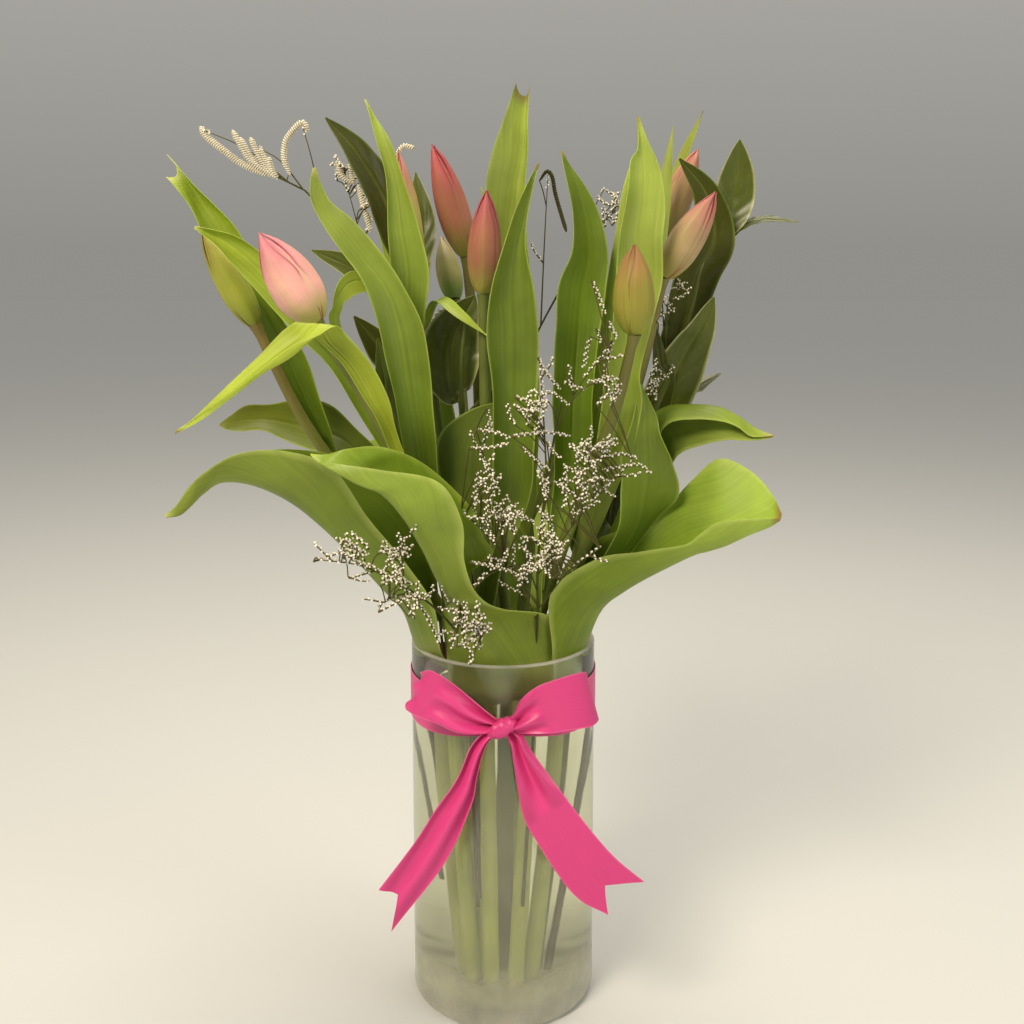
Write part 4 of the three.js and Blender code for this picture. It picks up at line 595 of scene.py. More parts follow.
# %% Stem lines
def stem_points(neck, foot, up):
    """Points of a stem: straight from its foot, drawn in to the foot of the bunch, to the rim, then up."""
    def drop(z):
        """The stem's point at a height below the rim."""
        scale = mix(FOOT_SCALE, 1, (z - VASE_BASE) / (VASE_HEIGHT - VASE_BASE))
        return [mix(FOOT_CENTRE[0], neck[0], scale), mix(FOOT_CENTRE[1], neck[1], scale), z]
    return [drop(foot), drop((foot + VASE_HEIGHT) / 2), drop(VASE_HEIGHT), *up]


tulip_foot = VASE_BASE + STEM_FOOT_GAP
tulip_lines = [Line([*stem_points(t["neck"], tulip_foot, t["up"]), t["base"]]) for t in tulips]
sprig_lines = [Line(stem_points(s["neck"], s["foot"] + STEM_FOOT_GAP, s["up"])) for s in sprigs]
spray_lines = [Line(stem_points(s["neck"], SPRAY_FOOT, s["up"])) for s in sprays]
print("longest stem, mm:", round(max(line.length for line in tulip_lines)))

# %% [markdown]
# ## Living green
# A tulip leaf is a smooth blade with fine veins side by side, about one to a millimetre, under a waxy
# bloom that makes it dull and slightly blue. Light shines through it, so a share of the shader lets
# light pass. The colour along and across each blade is painted on its points by a formula, and the veins
# are a noise stretched along the blade.

# %% Leaf blade material
# A noise lies mostly between these two, so that part of it is drawn out to the range that is wanted.
NOISE_RANGE = {"From Min": 0.3, "From Max": 0.7}


def growing(name, vein_mm, roughness, through, bump_mm, glow):
    """Painted colour, darker and lighter by stretched noise for the veins, with some light let through."""
    material, tree = new_material(name)
    painted = add_node(tree, "ShaderNodeAttribute", attribute_name="paint")
    chart = add_node(tree, "ShaderNodeUVMap", uv_map="surface")
    stretch = add_node(tree, "ShaderNodeMapping", {
        "Vector": chart.outputs["UV"], "Scale": (9, 1 / (vein_mm * MM), 1)})
    vein = add_node(tree, "ShaderNodeTexNoise", {
        "Vector": stretch.outputs["Vector"], "Scale": 1.0, "Detail": 3.0, "Roughness": 0.6})
    place = add_node(tree, "ShaderNodeTexCoord")
    cloud = add_node(tree, "ShaderNodeTexNoise", {
        "Vector": place.outputs["Object"], "Scale": 42.0, "Detail": 4.0, "Roughness": 0.55})
    veined = add_node(tree, "ShaderNodeMapRange", {
        "Value": vein.outputs["Fac"], **NOISE_RANGE, "To Min": 0.89, "To Max": 1.09})
    clouded = add_node(tree, "ShaderNodeMapRange", {
        "Value": cloud.outputs["Fac"], **NOISE_RANGE, "To Min": 0.84, "To Max": 1.12})
    both = add_node(tree, "ShaderNodeMath", {
        0: veined.outputs["Result"], 1: clouded.outputs["Result"]}, operation="MULTIPLY")
    tone = add_node(tree, "ShaderNodeVectorMath", {
        0: painted.outputs["Color"], "Scale": both.outputs["Value"]}, operation="SCALE")
    relief = add_node(tree, "ShaderNodeBump", {
        "Height": vein.outputs["Fac"], "Strength": 0.4, "Distance": bump_mm * MM})
    gloss = add_node(tree, "ShaderNodeMapRange", {
        "Value": cloud.outputs["Fac"], **NOISE_RANGE,
        "To Min": roughness - 0.06, "To Max": roughness + 0.08})
    face = add_node(tree, "ShaderNodeBsdfPrincipled", {
        "Base Color": tone.outputs["Vector"], "Roughness": gloss.outputs["Result"], "IOR": 1.42,
        "Normal": relief.outputs["Normal"]})
    warm = add_node(tree, "ShaderNodeVectorMath", {
        0: tone.outputs["Vector"], 1: glow}, operation="MULTIPLY")
    back = add_node(tree, "ShaderNodeBsdfTranslucent", {"Color": warm.outputs["Vector"]})
    blend = add_node(tree, "ShaderNodeMixShader", {
        "Fac": through, 1: face.outputs["BSDF"], 2: back.outputs["BSDF"]})
    add_node(tree, "ShaderNodeOutputMaterial", {"Surface": blend.outputs["Shader"]})
    return material


# Waxy tulip leaf, grown: fine long veins, a dull sheen, and light that passes yellow-green.
tulip_leaf = growing("waxy tulip leaf", 1.1, 0.46, 0.22, 0.12, (1.35, 1.5, 0.6))
# Fleshy tulip stem, grown: smoother and thicker, so hardly any light passes.
tulip_stem = growing("fleshy tulip stem", 0.7, 0.42, 0.06, 0.06, (1.2, 1.3, 0.7))
# Tulip petal, grown: silky, with veins finer than a leaf's, and light passes through it warm.
tulip_petal = growing("silky tulip petal", 0.6, 0.48, 0.2, 0.08, (1.4, 1.15, 0.9))
# Leathery evergreen leaf, grown: thick and glossier, dark above.
leathery_leaf = growing("leathery evergreen leaf", 2.2, 0.34, 0.12, 0.15, (1.2, 1.4, 0.4))
# Dried papery floret, air-dried: dull, pale and rough.
papery_floret = growing("dry papery floret", 0.4, 0.8, 0.25, 0.1, (1.1, 1.05, 0.9))


# %% Blades
def blade(line, u, half, inner, curl, thick, columns, ripple=0.0, keel=0.0):
    """Two faces of a blade about its midrib. Across it, v from -1 to 1, a point lies at
    half / curl * sin(v * curl) sideways and half / curl * (1 - cos(v * curl)) up, plus the ripple, less
    a narrow keel that sinks the midrib. The faces stand half the thickness to each side of it."""
    heading = line.heading(u)
    normal = across(inner, u, heading) if not isinstance(inner, np.ndarray) else inner
    side = np.cross(heading, normal)[:, None]
    normal = normal[:, None]
    v = np.linspace(-1, 1, columns + 1)[None, :, None]
    half, curl = half[:, None, None], curl[:, None, None]
    lift = half / curl * (1 - np.cos(v * curl)) + ripple - keel * half * np.exp(-(v / 0.09) ** 2)
    middle = line.at(u)[:, None] + side * half / curl * np.sin(v * curl) + normal * lift
    out = normal * np.cos(v * curl) - side * np.sin(v * curl)
    gap = out * thick * (1 - 0.6 * v**2) / 2
    rings = np.concatenate([middle - gap, (middle + gap)[:, ::-1]], axis=1)
    v = there_and_back(v)
    inside = np.repeat([0.0, 1.0], columns + 1)[None, :, None]
    return rings, charted((u * line.length)[:, None], v[..., 0] * half[..., 0]), v, inside


def leaf_root(leaf):
    """A leaf's first two points beside its stem, the way out from it, its heading and the distance."""
    stem = tulip_lines[leaf["stem"]]
    u = stem.height(leaf["z"])
    radius = mix(STEM_FOOT_RADIUS, STEM_TOP_RADIUS, max(0, 2 * u - 1))
    away = radius + CLEAR + LEAF_THICK / 2 + 0.1
    bearing, heading = math.radians(leaf["side"]), stem.heading(u)
    out = np.array([math.cos(bearing), math.sin(bearing), 0])
    out = unit(out - heading * np.dot(out, heading))
    root = stem.at(u) + out * away
    return root, root + heading * 7 + out * 0.4, out, heading, away


def waving(leaf, place, v):
    """Height of the waves: as the square of v, by the leaf's own table and once more, finer."""
    size, count, phase = leaf["waves"]
    fine = 0.25 * np.sin(2 * np.pi * (2.7 * count * place + draw(10 * leaf["stem"] + leaf["z"])) - 2 * v)
    wave = np.sin(2 * np.pi * (count * place + phase) + v) + fine
    return size * v**2 * wave * np.sin(np.pi * place)


def leaf_paint(leaf, place, v, inside):
    """Pale at the root, the main green, the young green towards the tip, a thin pale margin, a lighter
    line over the midrib, and an inner face of a deeper green."""
    green, young = linear(leaf["green"]), linear(leaf["young"])
    paint = mix(mix(linear("#A9B266"), green, smooth(place, 0.0, 0.25)), young, smooth(place, 0.45, 1.0))
    paint = mix(paint, linear("#C6D27C"), 0.6 * smooth(np.abs(v), 0.955, 1.0))
    paint = mix(paint, paint * np.array([1.16, 1.1, 0.95]), 0.5 * np.exp(-(v / 0.05) ** 2))
    paint = paint * (1 + 0.05 * np.sin(7 * np.pi * v + 3 * leaf["z"]) * (1 - np.abs(v)))
    paint = mix(paint * np.array([0.99, 1.0, 0.86]), paint * np.array([0.9, 0.97, 0.52]), inside)
    return mix(paint, linear(leaf["tip"]), 0.8 * smooth(place, 0.972, 1.0))


# %% Plain leaves
LEAF_WIDEST = 0.42


def plain_leaf(leaf, columns=16):
    """A tulip leaf. Its root half sheathes the stem; its half-width grows as a quarter sine to its widest
    place, then tapers as the cosine of a quarter turn to the power 1.25."""
    root, following, out, _, away = leaf_root(leaf)
    line = Line([root, following, *leaf["path"]])
    half = leaf["width"] / 2
    share = min(0.5, SHEATH_HALF / half)
    t = np.linspace(0, 1, int(line.length / 1.9) + 12)
    u = 1 - (1 - t) ** 1.15
    grow = half * mix(share, 1, np.sin(np.pi / 2 * np.clip(u / LEAF_WIDEST, 0, 1)))
    late = np.clip((u - LEAF_WIDEST) / (1 - LEAF_WIDEST), 0, 1)
    taper = half * np.cos(np.pi / 2 * late ** 1.25)
    width = np.maximum(np.where(u < LEAF_WIDEST, grow, taper), 0.35)
    turn = smooth(u, 0, 1.5 * min(0.2, 18 / line.length))
    heads = line.heading(u)
    wanted = mix(-out, along(leaf["face"], u), turn[:, None])
    inner = unit(wanted - heads * np.sum(wanted * heads, axis=-1, keepdims=True))
    curl = mix(half * share / away, along(leaf["curl"], u), turn)
    v = np.linspace(-1, 1, columns + 1)[None, :, None]
    wave = waving(leaf, u[:, None, None], v)
    rings, uv, v, inside = blade(line, u, width, inner, curl, LEAF_THICK * 0.8, columns, wave, keel=0.05)
    return skin(rings, uv, leaf_paint(leaf, u[:, None, None], v, inside))


# %% Folded leaves
def folded_leaf(leaf, columns=24):
    """A leaf on three matched lines: its midrib and two margins, which start round the stem. Across it, v
    from -1 to 1, each half is midrib + slope * v + bend * v^2 and ends on its margin. The slope points
    from margin to margin and is as long as the nearer margin is far, and the midrib is a narrow crease."""
    root, following, out, heading, away = leaf_root(leaf)
    wrap, aside = SHEATH_HALF / away, np.cross(heading, out)
    path, near, far = np.hsplit(np.array(leaf["stations"], float), 3)
    turned = -1 if np.dot(near[0] - far[0], aside) < 0 else 1
    swing = aside * turned * away * math.sin(wrap)
    tuck = -out * away * (1 - math.cos(wrap))
    starts = ((0, 0), (1, 1), (-1, 1))
    lines = [Line([root + a * swing + b * tuck, following + a * swing + b * tuck, *points])
             for (a, b), points in zip(starts, (path, near, far))]
    t = np.linspace(0, 1, int(lines[0].length / 1.7) + 12)
    middle, first, last = (line.even(t)[:, None] for line in lines)
    left, right = (np.linalg.norm(edge - middle, axis=-1, keepdims=True) for edge in (first, last))
    slope = unit(last - first) * np.minimum(left, right)
    v = np.linspace(-1, 1, columns + 1)[None, :, None]
    bend = np.where(v < 0, first + slope, last - slope) - middle
    grid = middle + slope * v + bend * v**2
    normal = unit(np.cross(np.gradient(grid, axis=0), np.gradient(grid, axis=1)))
    normal = normal * (1 if np.dot(normal[2, columns // 2], -out) > 0 else -1)
    span = np.minimum(1, (left + right) / 12)
    run = np.cumsum(np.linalg.norm(np.diff(middle, axis=0, prepend=middle[:1]), axis=-1))[:, None, None]
    place = run / run[-1]
    crease = 0.5 * np.exp(-(v / 0.06) ** 2) * np.sin(np.pi * place)
    grid = grid + normal * (waving(leaf, place, v) - crease) * span
    gap = normal * LEAF_THICK * 0.4 * (1 - 0.6 * v**2)
    rings = np.concatenate([grid - gap, (grid + gap)[:, ::-1]], axis=1)
    v = there_and_back(v)
    inside = np.repeat([0.0, 1.0], columns + 1)[None, :, None]
    uv = charted(run[..., 0], (v * (left + right) / 2)[..., 0])
    return skin(rings, uv, leaf_paint(leaf, place, v, inside))


# %% [markdown]
# ### Leaf colours
# Young leaves near the flowers are yellow-green, the big old ones lower down fuller and greyer. Some
# tips dry brown. Each leaf has its main green, the green towards its tip, and the tip's own colour.

# %% Tulip leaves in their colours
leaf_tones = [
    ("#7F9438", "#A9B850", "#D6D98A"), ("#8B9E3C", "#AEBB52", "#C9CE7A"), ("#A8B43E", "#D3DC74", "#8C7A46"),
    ("#788E2F", "#8FA042", "#B7B96A"), ("#7F9634", "#9DAE48", "#C2C67A"), ("#A3B24A", "#BCC766", "#C9CE7A"),
    ("#9BAC45", "#B4C05C", "#C9CE7A"), ("#93A444", "#A9B857", "#8B7B4A"), ("#6D832A", "#7F9236", "#8F7A45"),
    ("#6F8629", "#7B8E34", "#A59B5A"), ("#8C9E3B", "#B0C05E", "#A8A45E"), ("#8D9F40", "#A6B553", "#A8A45E"),
    ("#97A74A", "#B2B869", "#9A8A55"), ("#8FA145", "#A9B65A", "#A8A45E"), ("#7C9234", "#8C9C3D", "#C6CB74"),
    ("#86993A", "#9CB34A", "#CFE05A"), ("#7F9629", "#AABF52", "#9C6F4E"), ("#7A9030", "#7F9236", "#8F9A48"),
    ("#6B7E28", "#A6B658", "#B9A86A"), ("#9CB04A", "#B5C562", "#C9CE7A"), ("#6F7C2C", "#747A2C", "#9B9A50"),
    ("#5E6F22", "#66782A", "#7A7F3A"), ("#74892F", "#8B9C3E", "#B7B96A"), ("#7A8F31", "#90A243", "#B7B96A"),
    ("#7B8F34", "#93A448", "#B7B96A"), ("#7F9236", "#9AAA4C", "#B7B96A"),
]
for leaf, tones in zip(leaves, leaf_tones):
    leaf["green"], leaf["young"], leaf["tip"] = tones
    surface = folded_leaf(leaf) if "stations" in leaf else plain_leaf(leaf)
    make_piece(f"tulip_leaf_{leaf['name']}", surface, tulip_leaf, [f"leaf_{leaf['name']}"])

# %% [markdown]
# ## Stems
# A tulip stem is a fleshy round stalk that thins upwards, pale where it stood in water and often flushed
# brown-pink under the flower. In the water that pale is painted paler still, as painted light where the
# glass lets little light through, and above the water the green and the flush are painted darker, as
# painted shade inside the bunch. It is a tube with low ribs and a slightly uneven girth. A real one is
# cut on the slant at its foot; here it ends flat, a hair above the glass.

# %% Tulip stems
# Of each stem: its colour in the water, its own pale made paler still as painted light, and its flush under
# the bud.
stem_tones = [
    ("#DCEA84", "#84883E"), ("#D6DE90", "#7E7038"), ("#D4E07E", "#84903C"), ("#70804A", "#6E6A34"),
    ("#E2F088", "#6A7432"), ("#E6F290", "#78763C"), ("#DEE898", "#8C8448"), ("#8C9A5E", "#7E7440"),
    ("#CAD48A", "#747C40"), ("#CEDA8E", "#7C7640"),
]
STEM_SIDES = 18
STEM_RINGS = 120
# The stem's green above the water, darker as painted shade for the inside of the bunch.
STEM_GREEN_IN_PAINTED_SHADE = "#6C7830"
CUT_STEM = "#C9C795"
for number, (tulip, line, (pale_with_painted_light, flush)) in enumerate(zip(tulips, tulip_lines, stem_tones)):
    u = np.linspace(0, 1, STEM_RINGS)
    z = line.at(u)[:, 2]
    girth = mix(STEM_FOOT_RADIUS, STEM_TOP_RADIUS, np.clip(2 * u - 1, 0, 1))
    girth = girth * (1 + 0.03 * np.sin(19 * u + number) + 0.02 * np.sin(47 * u + 3 * number))
    girth = girth + 0.9 * smooth(u, 0.985, 1.0)
    # Painted light: in the water the stem is painted paler, partly its own pale colour and partly for the
    # light that the glass holds back.
    paint = mix(linear(pale_with_painted_light), linear(STEM_GREEN_IN_PAINTED_SHADE), smooth(z, WATER_TOP - 30, WATER_TOP + 60)[:, None])
    # Painted shade: the flush under the bud is darkened by a fifth.
    paint = mix(paint, linear(flush) * 0.8, smooth(u, 0.72, 0.99)[:, None])
    paint = mix(paint, linear(CUT_STEM), (1 - smooth(z, VASE_BASE, VASE_BASE + 3))[:, None])
    surface = tube(line, girth, STEM_SIDES, u, paint, ridge=0.02)
    make_piece(f"tulip_stem_{tulip['name']}", surface, tulip_stem, [f"stem_{tulip['name']}"])

# %% [markdown]
# ## Buds
# A closed tulip is six petals in two layers. The three outer ones lap over the three inner ones and all
# six meet in a point. Each petal is a boat-shaped sheet laid on the bud's own outline, so the bud could
# open if its angles were changed. Colour runs from a green base to a flushed tip, deeper at the margins.

# %% Petals
BUD_WIDEST = 0.36
PETAL_THICK = 0.9


def bud_share(s):
    """Share of the greatest radius at s from base to tip: a quarter sine up to the widest place, then a
    cosine."""
    lower = mix(0.3, 1, np.sin(np.pi / 2 * np.clip(s / BUD_WIDEST, 0, 1) ** 0.8))
    upper = np.cos(np.pi / 2 * np.clip((s - BUD_WIDEST) / (1 - BUD_WIDEST), 0, 1) ** 1.2)
    return np.where(s < BUD_WIDEST, lower, np.maximum(upper, 0.06))


def petal(tulip, number, tones, rows=44, columns=14):
    """One petal: at s up the bud and v across, it stands at the bud's radius plus its layer's offset, at
    its own bearing plus v times its half-angle, which narrows towards the tip. A low keel runs up its
    middle and its margins hug the bud."""
    outer = number % 2 == 0
    base, tip = np.array(tulip["base"], float), np.array(tulip["tip"], float)
    axis = unit(tip - base)
    length = np.linalg.norm(tip - base)
    first = unit(np.array([1.0, 0, 0]) - axis * axis[0])
    second = np.cross(axis, first)
    s = 1 - (1 - np.linspace(0, 1, rows)) ** 1.25
    s = s[:, None, None]
    v = np.linspace(-1, 1, columns + 1)[None, :, None]
    seed = 100 * int(tulip["name"]) + 7 * number
    reach = 1.0 - (0.0 if outer else 0.03) - 0.035 * draw(seed)
    spread = np.radians(58 if outer else 50) * (1 - 0.45 * smooth(s, 0.55, 1.0))
    bearing = math.radians(tulip["turn"] + 60 * number) + 0.06 * (draw(seed + 1) - 0.5)
    angle = bearing + v * spread
    offset = (1.0 if outer else 0.1) - (0.75 if outer else 0.25) * v**2 * smooth(s, 0.0, 0.3)
    offset = offset + 0.3 * np.exp(-(v / 0.16) ** 2) + 0.16 * np.sin(9 * s + seed) * v
    lean = 0.5 * smooth(s, 0.85, 1.0) * draw(seed + 2)
    radius = (tulip["radius"] - 1) * bud_share(s) + (offset + lean) * np.minimum(1, 6 * (1 - s) + 0.2)
    out = first * np.cos(angle) + second * np.sin(angle)
    middle = base + axis * (0.3 + s * (length * reach - 0.3)) + out * radius
    gap = out * PETAL_THICK / 2 * (1 - 0.6 * v**2) * (1 - 0.6 * smooth(s, 0.9, 1))
    rings = np.concatenate([middle + gap, (middle - gap)[:, ::-1]], axis=1)
    v = there_and_back(v)
    foot, body, flush, edge = (linear(tone) for tone in tones)
    paint = mix(foot, body, smooth(s, 0.02, 0.36))
    paint = mix(paint, flush, smooth(s + 0.1 * np.abs(v), 0.42, 1.02))
    paint = mix(paint, edge, 0.9 * smooth(np.abs(v) + 0.1 * s, 0.9, 1.02))
    paint = mix(paint, foot * np.array([1.0, 1.05, 0.9]), 0.35 * np.exp(-(v / 0.2) ** 2) * (1 - s))
    return skin(rings, charted(s[..., 0] * length, v[..., 0] * tulip["radius"]), paint)


# %% Buds
# Of each bud: the colour of its foot, of its body, towards its tip, and of its margins.
bud_tones = [
    ("#D2CC76", "#F0BBB0", "#DC8894", "#A8405C"), ("#98A238", "#A9AF42", "#ABA248", "#6A5A2A"),
    ("#B9BE62", "#C9C06C", "#D08A80", "#C87878"), ("#928E3E", "#C07C66", "#D0666C", "#A83A50"),
    ("#A4A04A", "#B4785C", "#BC6266", "#98384C"), ("#9EA23C", "#9B943E", "#A5774A", "#7E6A34"),
    ("#AEA656", "#C9B080", "#C8847A", "#B4384E"), ("#A99A58", "#B99A6C", "#C08472", "#B04854"),
    ("#7E9A45", "#A5A062", "#B9A97C", "#8A7A52"), ("#A9A050", "#CE8468", "#D8746A", "#B4485A"),
]
for tulip, tones in zip(tulips, bud_tones):
    surface = merged([petal(tulip, number, tones) for number in range(6)])
    slot = f"bloom_{tulip['name']}"
    make_piece(f"tulip_bud_{tulip['name']}", surface, tulip_petal, [slot])

# %% [markdown]
# ## Greenery
# The dark broad leaves are leathery and oval, with a sunk midrib and a few side veins that the blade
# quilts between. They grow on thin woody twigs.

# %% Leathery leaves
SIDE_VEINS = 7


def oval_leaf(line, leaf, number, tones, columns=14, rows=56):
    """An oval blade after a short stalk: its half-width is the sine of half a turn, drawn a little to the
    root, to the power 0.75. Its face quilts between side veins that lean forward."""
    curve = Line([line.at(np.array([leaf["at"]]))[0], *leaf["path"]])
    stalk = 5 / curve.length
    u = np.linspace(0, 1, rows)
    part = np.clip((u - stalk) / (1 - stalk), 0, 1)
    width = np.maximum(leaf["width"] / 2 * np.sin(np.pi * part**0.85) ** 0.75, 0.6)
    v = np.linspace(-1, 1, columns + 1)[None, :, None]
    place = u[:, None, None]
    side_vein = np.cos(2 * np.pi * (SIDE_VEINS * place - 1.6 * np.abs(v)) + number)
    quilt = 0.22 * side_vein * smooth(np.abs(v), 0.05, 0.3)
    wave = 0.03 * leaf["width"] * v**2 * np.sin(5 * np.pi * place + number + v)
    curl = np.full(len(u), leaf["curl"])
    rings, uv, v, inside = blade(curve, u, width, [leaf["face"]], curl, 0.6, columns,
                                 ripple=(quilt + wave) * np.sin(np.pi * place), keel=0.1)
    upper, under, margin = (linear(tone) for tone in tones)
    paint = mix(under, upper, inside)
    vein = smooth(there_and_back(side_vein), 0.93, 1.0)
    paint = mix(paint, paint * 1.5, 0.4 * vein)
    paint = mix(paint, linear("#7C853A"), 0.45 * np.exp(-(v / 0.05) ** 2))
    paint = mix(paint, margin, smooth(np.abs(v), 0.9, 1.0))
    return skin(rings, uv, paint)


# %% Twigs with their leaves
# Colours of a leaf's face, of its underside and of its margin.
DARK = ("#42480F", "#6E7636", "#6E7A36")
PALE_EDGE = ("#55601F", "#7C8846", "#B9BC86")
MID = ("#4E5B1C", "#7E8A48", "#7C8640")
TWIG_RINGS = 130
TWIG_SIDES = 12
twig_brown, twig_green = linear("#5A4A28"), linear("#5E6A2A")
for sprig, line in zip(sprigs, sprig_lines):
    u = np.linspace(0, 1, TWIG_RINGS)
    girth = mix(1.7, 1.0, smooth(u, 0.5, 1.0)) * (1 + 0.05 * np.sin(60 * u))
    for leaf in sprig["leaves"]:
        girth = girth + 0.5 * np.exp(-((u - leaf["at"]) / 0.008) ** 2)
    bark = mix(twig_brown, twig_green, smooth(u, 0.35, 0.9)[:, None])
    parts = [tube(line, girth, TWIG_SIDES, u, bark)]
    for number, leaf in enumerate(sprig["leaves"]):
        tones = {0: DARK, 1: PALE_EDGE, 3: PALE_EDGE}.get(number, MID if number % 2 else DARK)
        parts.append(oval_leaf(line, leaf, number, tones))
    name = f"greenery_{sprig['name']}"
    make_piece(f"leafy_{name}", merged(parts), leathery_leaf, [name])

# %% [markdown]
# ## Sea lavender
# Sea lavender dries to hundreds of tiny papery trumpets, set close along thin brown-green twigs, all on
# the upper side and all leaning forward. They could be grown by a particle system, but one trumpet of 28
# faces is copied to each place by turning and moving its points in one array sum, so that every copy can
# be told where to stand. On two of the sprays the trumpets pack edge to edge into woolly ears. Those are
# drawn as tubes with close ribs, because single trumpets would not show there.

# %% One floret and its copies
# Radius and height of each ring of the trumpet, and how many points go round it.
FLORET_RINGS = np.array([[0.28, 0.0], [0.42, 0.9], [0.85, 1.7], [1.25, 2.3], [1.0, 2.5]])
FLORET_SIDES = 6


def florets(places, headings, sizes, turns, pale, brown):
    """Copies of the floret: rings of six points about its own axis, flared like a trumpet with a crimped
    mouth, scaled by sizes, turned about the heading and set at the places."""
    angle = np.linspace(0, 2 * np.pi, FLORET_SIDES, endpoint=False)
    crimp = 1 + 0.22 * np.cos(3 * angle)[None, :] * np.linspace(0, 1, len(FLORET_RINGS))[:, None] ** 2
    radius = FLORET_RINGS[:, :1] * crimp
    height = np.broadcast_to(FLORET_RINGS[:, 1:], radius.shape)
    helper = np.where(np.abs(headings[:, 2:]) > 0.9, [[1.0, 0, 0]], [[0, 0, 1.0]])
    first = unit(np.cross(headings, helper))
    second = np.cross(headings, first)
    spin = angle[None, :] + turns[:, None]
    around = first[:, None] * np.cos(spin)[..., None] + second[:, None] * np.sin(spin)[..., None]
    rings = (places[:, None, None] + sizes[:, None, None, None] * (
        radius[None, ..., None] * around[:, None] + height[None, ..., None] * headings[:, None, None]))
    tone = np.linspace(0, 1, len(FLORET_RINGS))[None, :, None, None] ** 0.4
    shade = mix(0.86, 1.06, draw(np.arange(len(places))))[:, None, None, None]
    paint = np.broadcast_to(mix(linear(brown), linear(pale), tone) * shade, rings.shape)
    one = skin(rings[0], np.zeros((*rings.shape[1:3], 2)), paint[0])
    step = rings.shape[1] * rings.shape[2]
    quads = (one["quads"][None] + step * np.arange(len(places))[:, None, None]).reshape(-1, 4)
    return {"points": rings.reshape(-1, 3), "quads": quads,
            "uv": np.zeros((step * len(places), 2)), "paint": paint.reshape(-1, 3)}


# %% Twigs of florets
TWIG_TONE = "#5D5A2C"


def plain_tube(line, girth, sides, u, colour):
    """A tube of one colour."""
    return tube(line, girth, sides, u, linear(colour))


def spike_line(branch, at, length, bend, seed):
    """One spike leaves its branch sideways and bends over with it."""
    start, heading = branch.at(np.array([at]))[0], branch.heading(np.array([at]))[0]
    aside = unit(np.cross([0, -1, 0.3], heading)) * (1 if seed % 2 == 0 else -1)
    aside = aside + [0, mix(-0.5, 0.5, draw(seed + 90)), 0]
    aside = unit(aside - heading * np.dot(aside, heading))
    reach = length * (0.75 + 0.5 * draw(seed + 50))
    middle = start + heading * reach * 0.4 + aside * reach * 0.35
    end = middle + heading * reach * 0.3 + aside * reach * mix(0.45, -0.05, bend)
    return Line([start, middle, end])


def flowered(line, start, pitch, size, seed, parts, points):
    """Adds a thin twig to parts, and to points the places, headings and sizes of its florets. They stand a
    pitch apart from the share start to the tip, in three directions in turn round its upper side."""
    u = np.linspace(0, 1, max(6, int(line.length / 4)))
    parts.append(plain_tube(line, mix(0.5, 0.22, u), 6, u, TWIG_TONE))
    count = max(2, int(line.length * (1 - start) / pitch))
    at = mix(start, 1, (np.arange(count) + 0.7) / count)
    heading = line.heading(at)
    side = unit(np.cross(heading, [0.15, -0.4, 1.0]))
    up = np.cross(side, heading)
    swing = (np.arange(count) % 3 - 1.0 + 0.5 * (draw(seed + np.arange(count)) - 0.5))[:, None]
    lean = unit(0.55 * heading + np.cos(swing) * up + np.sin(swing) * side)
    sizes = size * mix(0.75, 1.15, draw(seed + 5 + np.arange(count)))
    points.append((line.at(at) + 0.2 * lean, lean, sizes))


# %% Woolly ears
EAR_SIDES = 14
EAR_STEP = 0.25


def woolly_ear(line, radius, pale, brown):
    """An ear of florets packed edge to edge: a tube that swells from its foot and closes at its tip. At
    distance s and angle a its radius is swell(s) * (0.84 + 0.16 * cos(2 pi s / 1.3 + 2 cos(a)))."""
    u = np.linspace(0, 1, int(line.length / EAR_STEP))
    angle = np.linspace(0, 2 * np.pi, EAR_SIDES, endpoint=False)[None, :]
    swell = radius * np.sqrt(np.clip(np.minimum((u + 0.03) / 0.2, (1.004 - u) / 0.08), 0, 1))[:, None]
    rib = np.cos(2 * np.pi * u[:, None] * line.length / 1.3 + 2 * np.cos(angle))
    paint = mix(linear(brown), linear(pale), smooth(rib, -1.0, 0.3)[..., None])
    return tube(line, swell * (0.84 + 0.16 * rib), EAR_SIDES, u, paint)


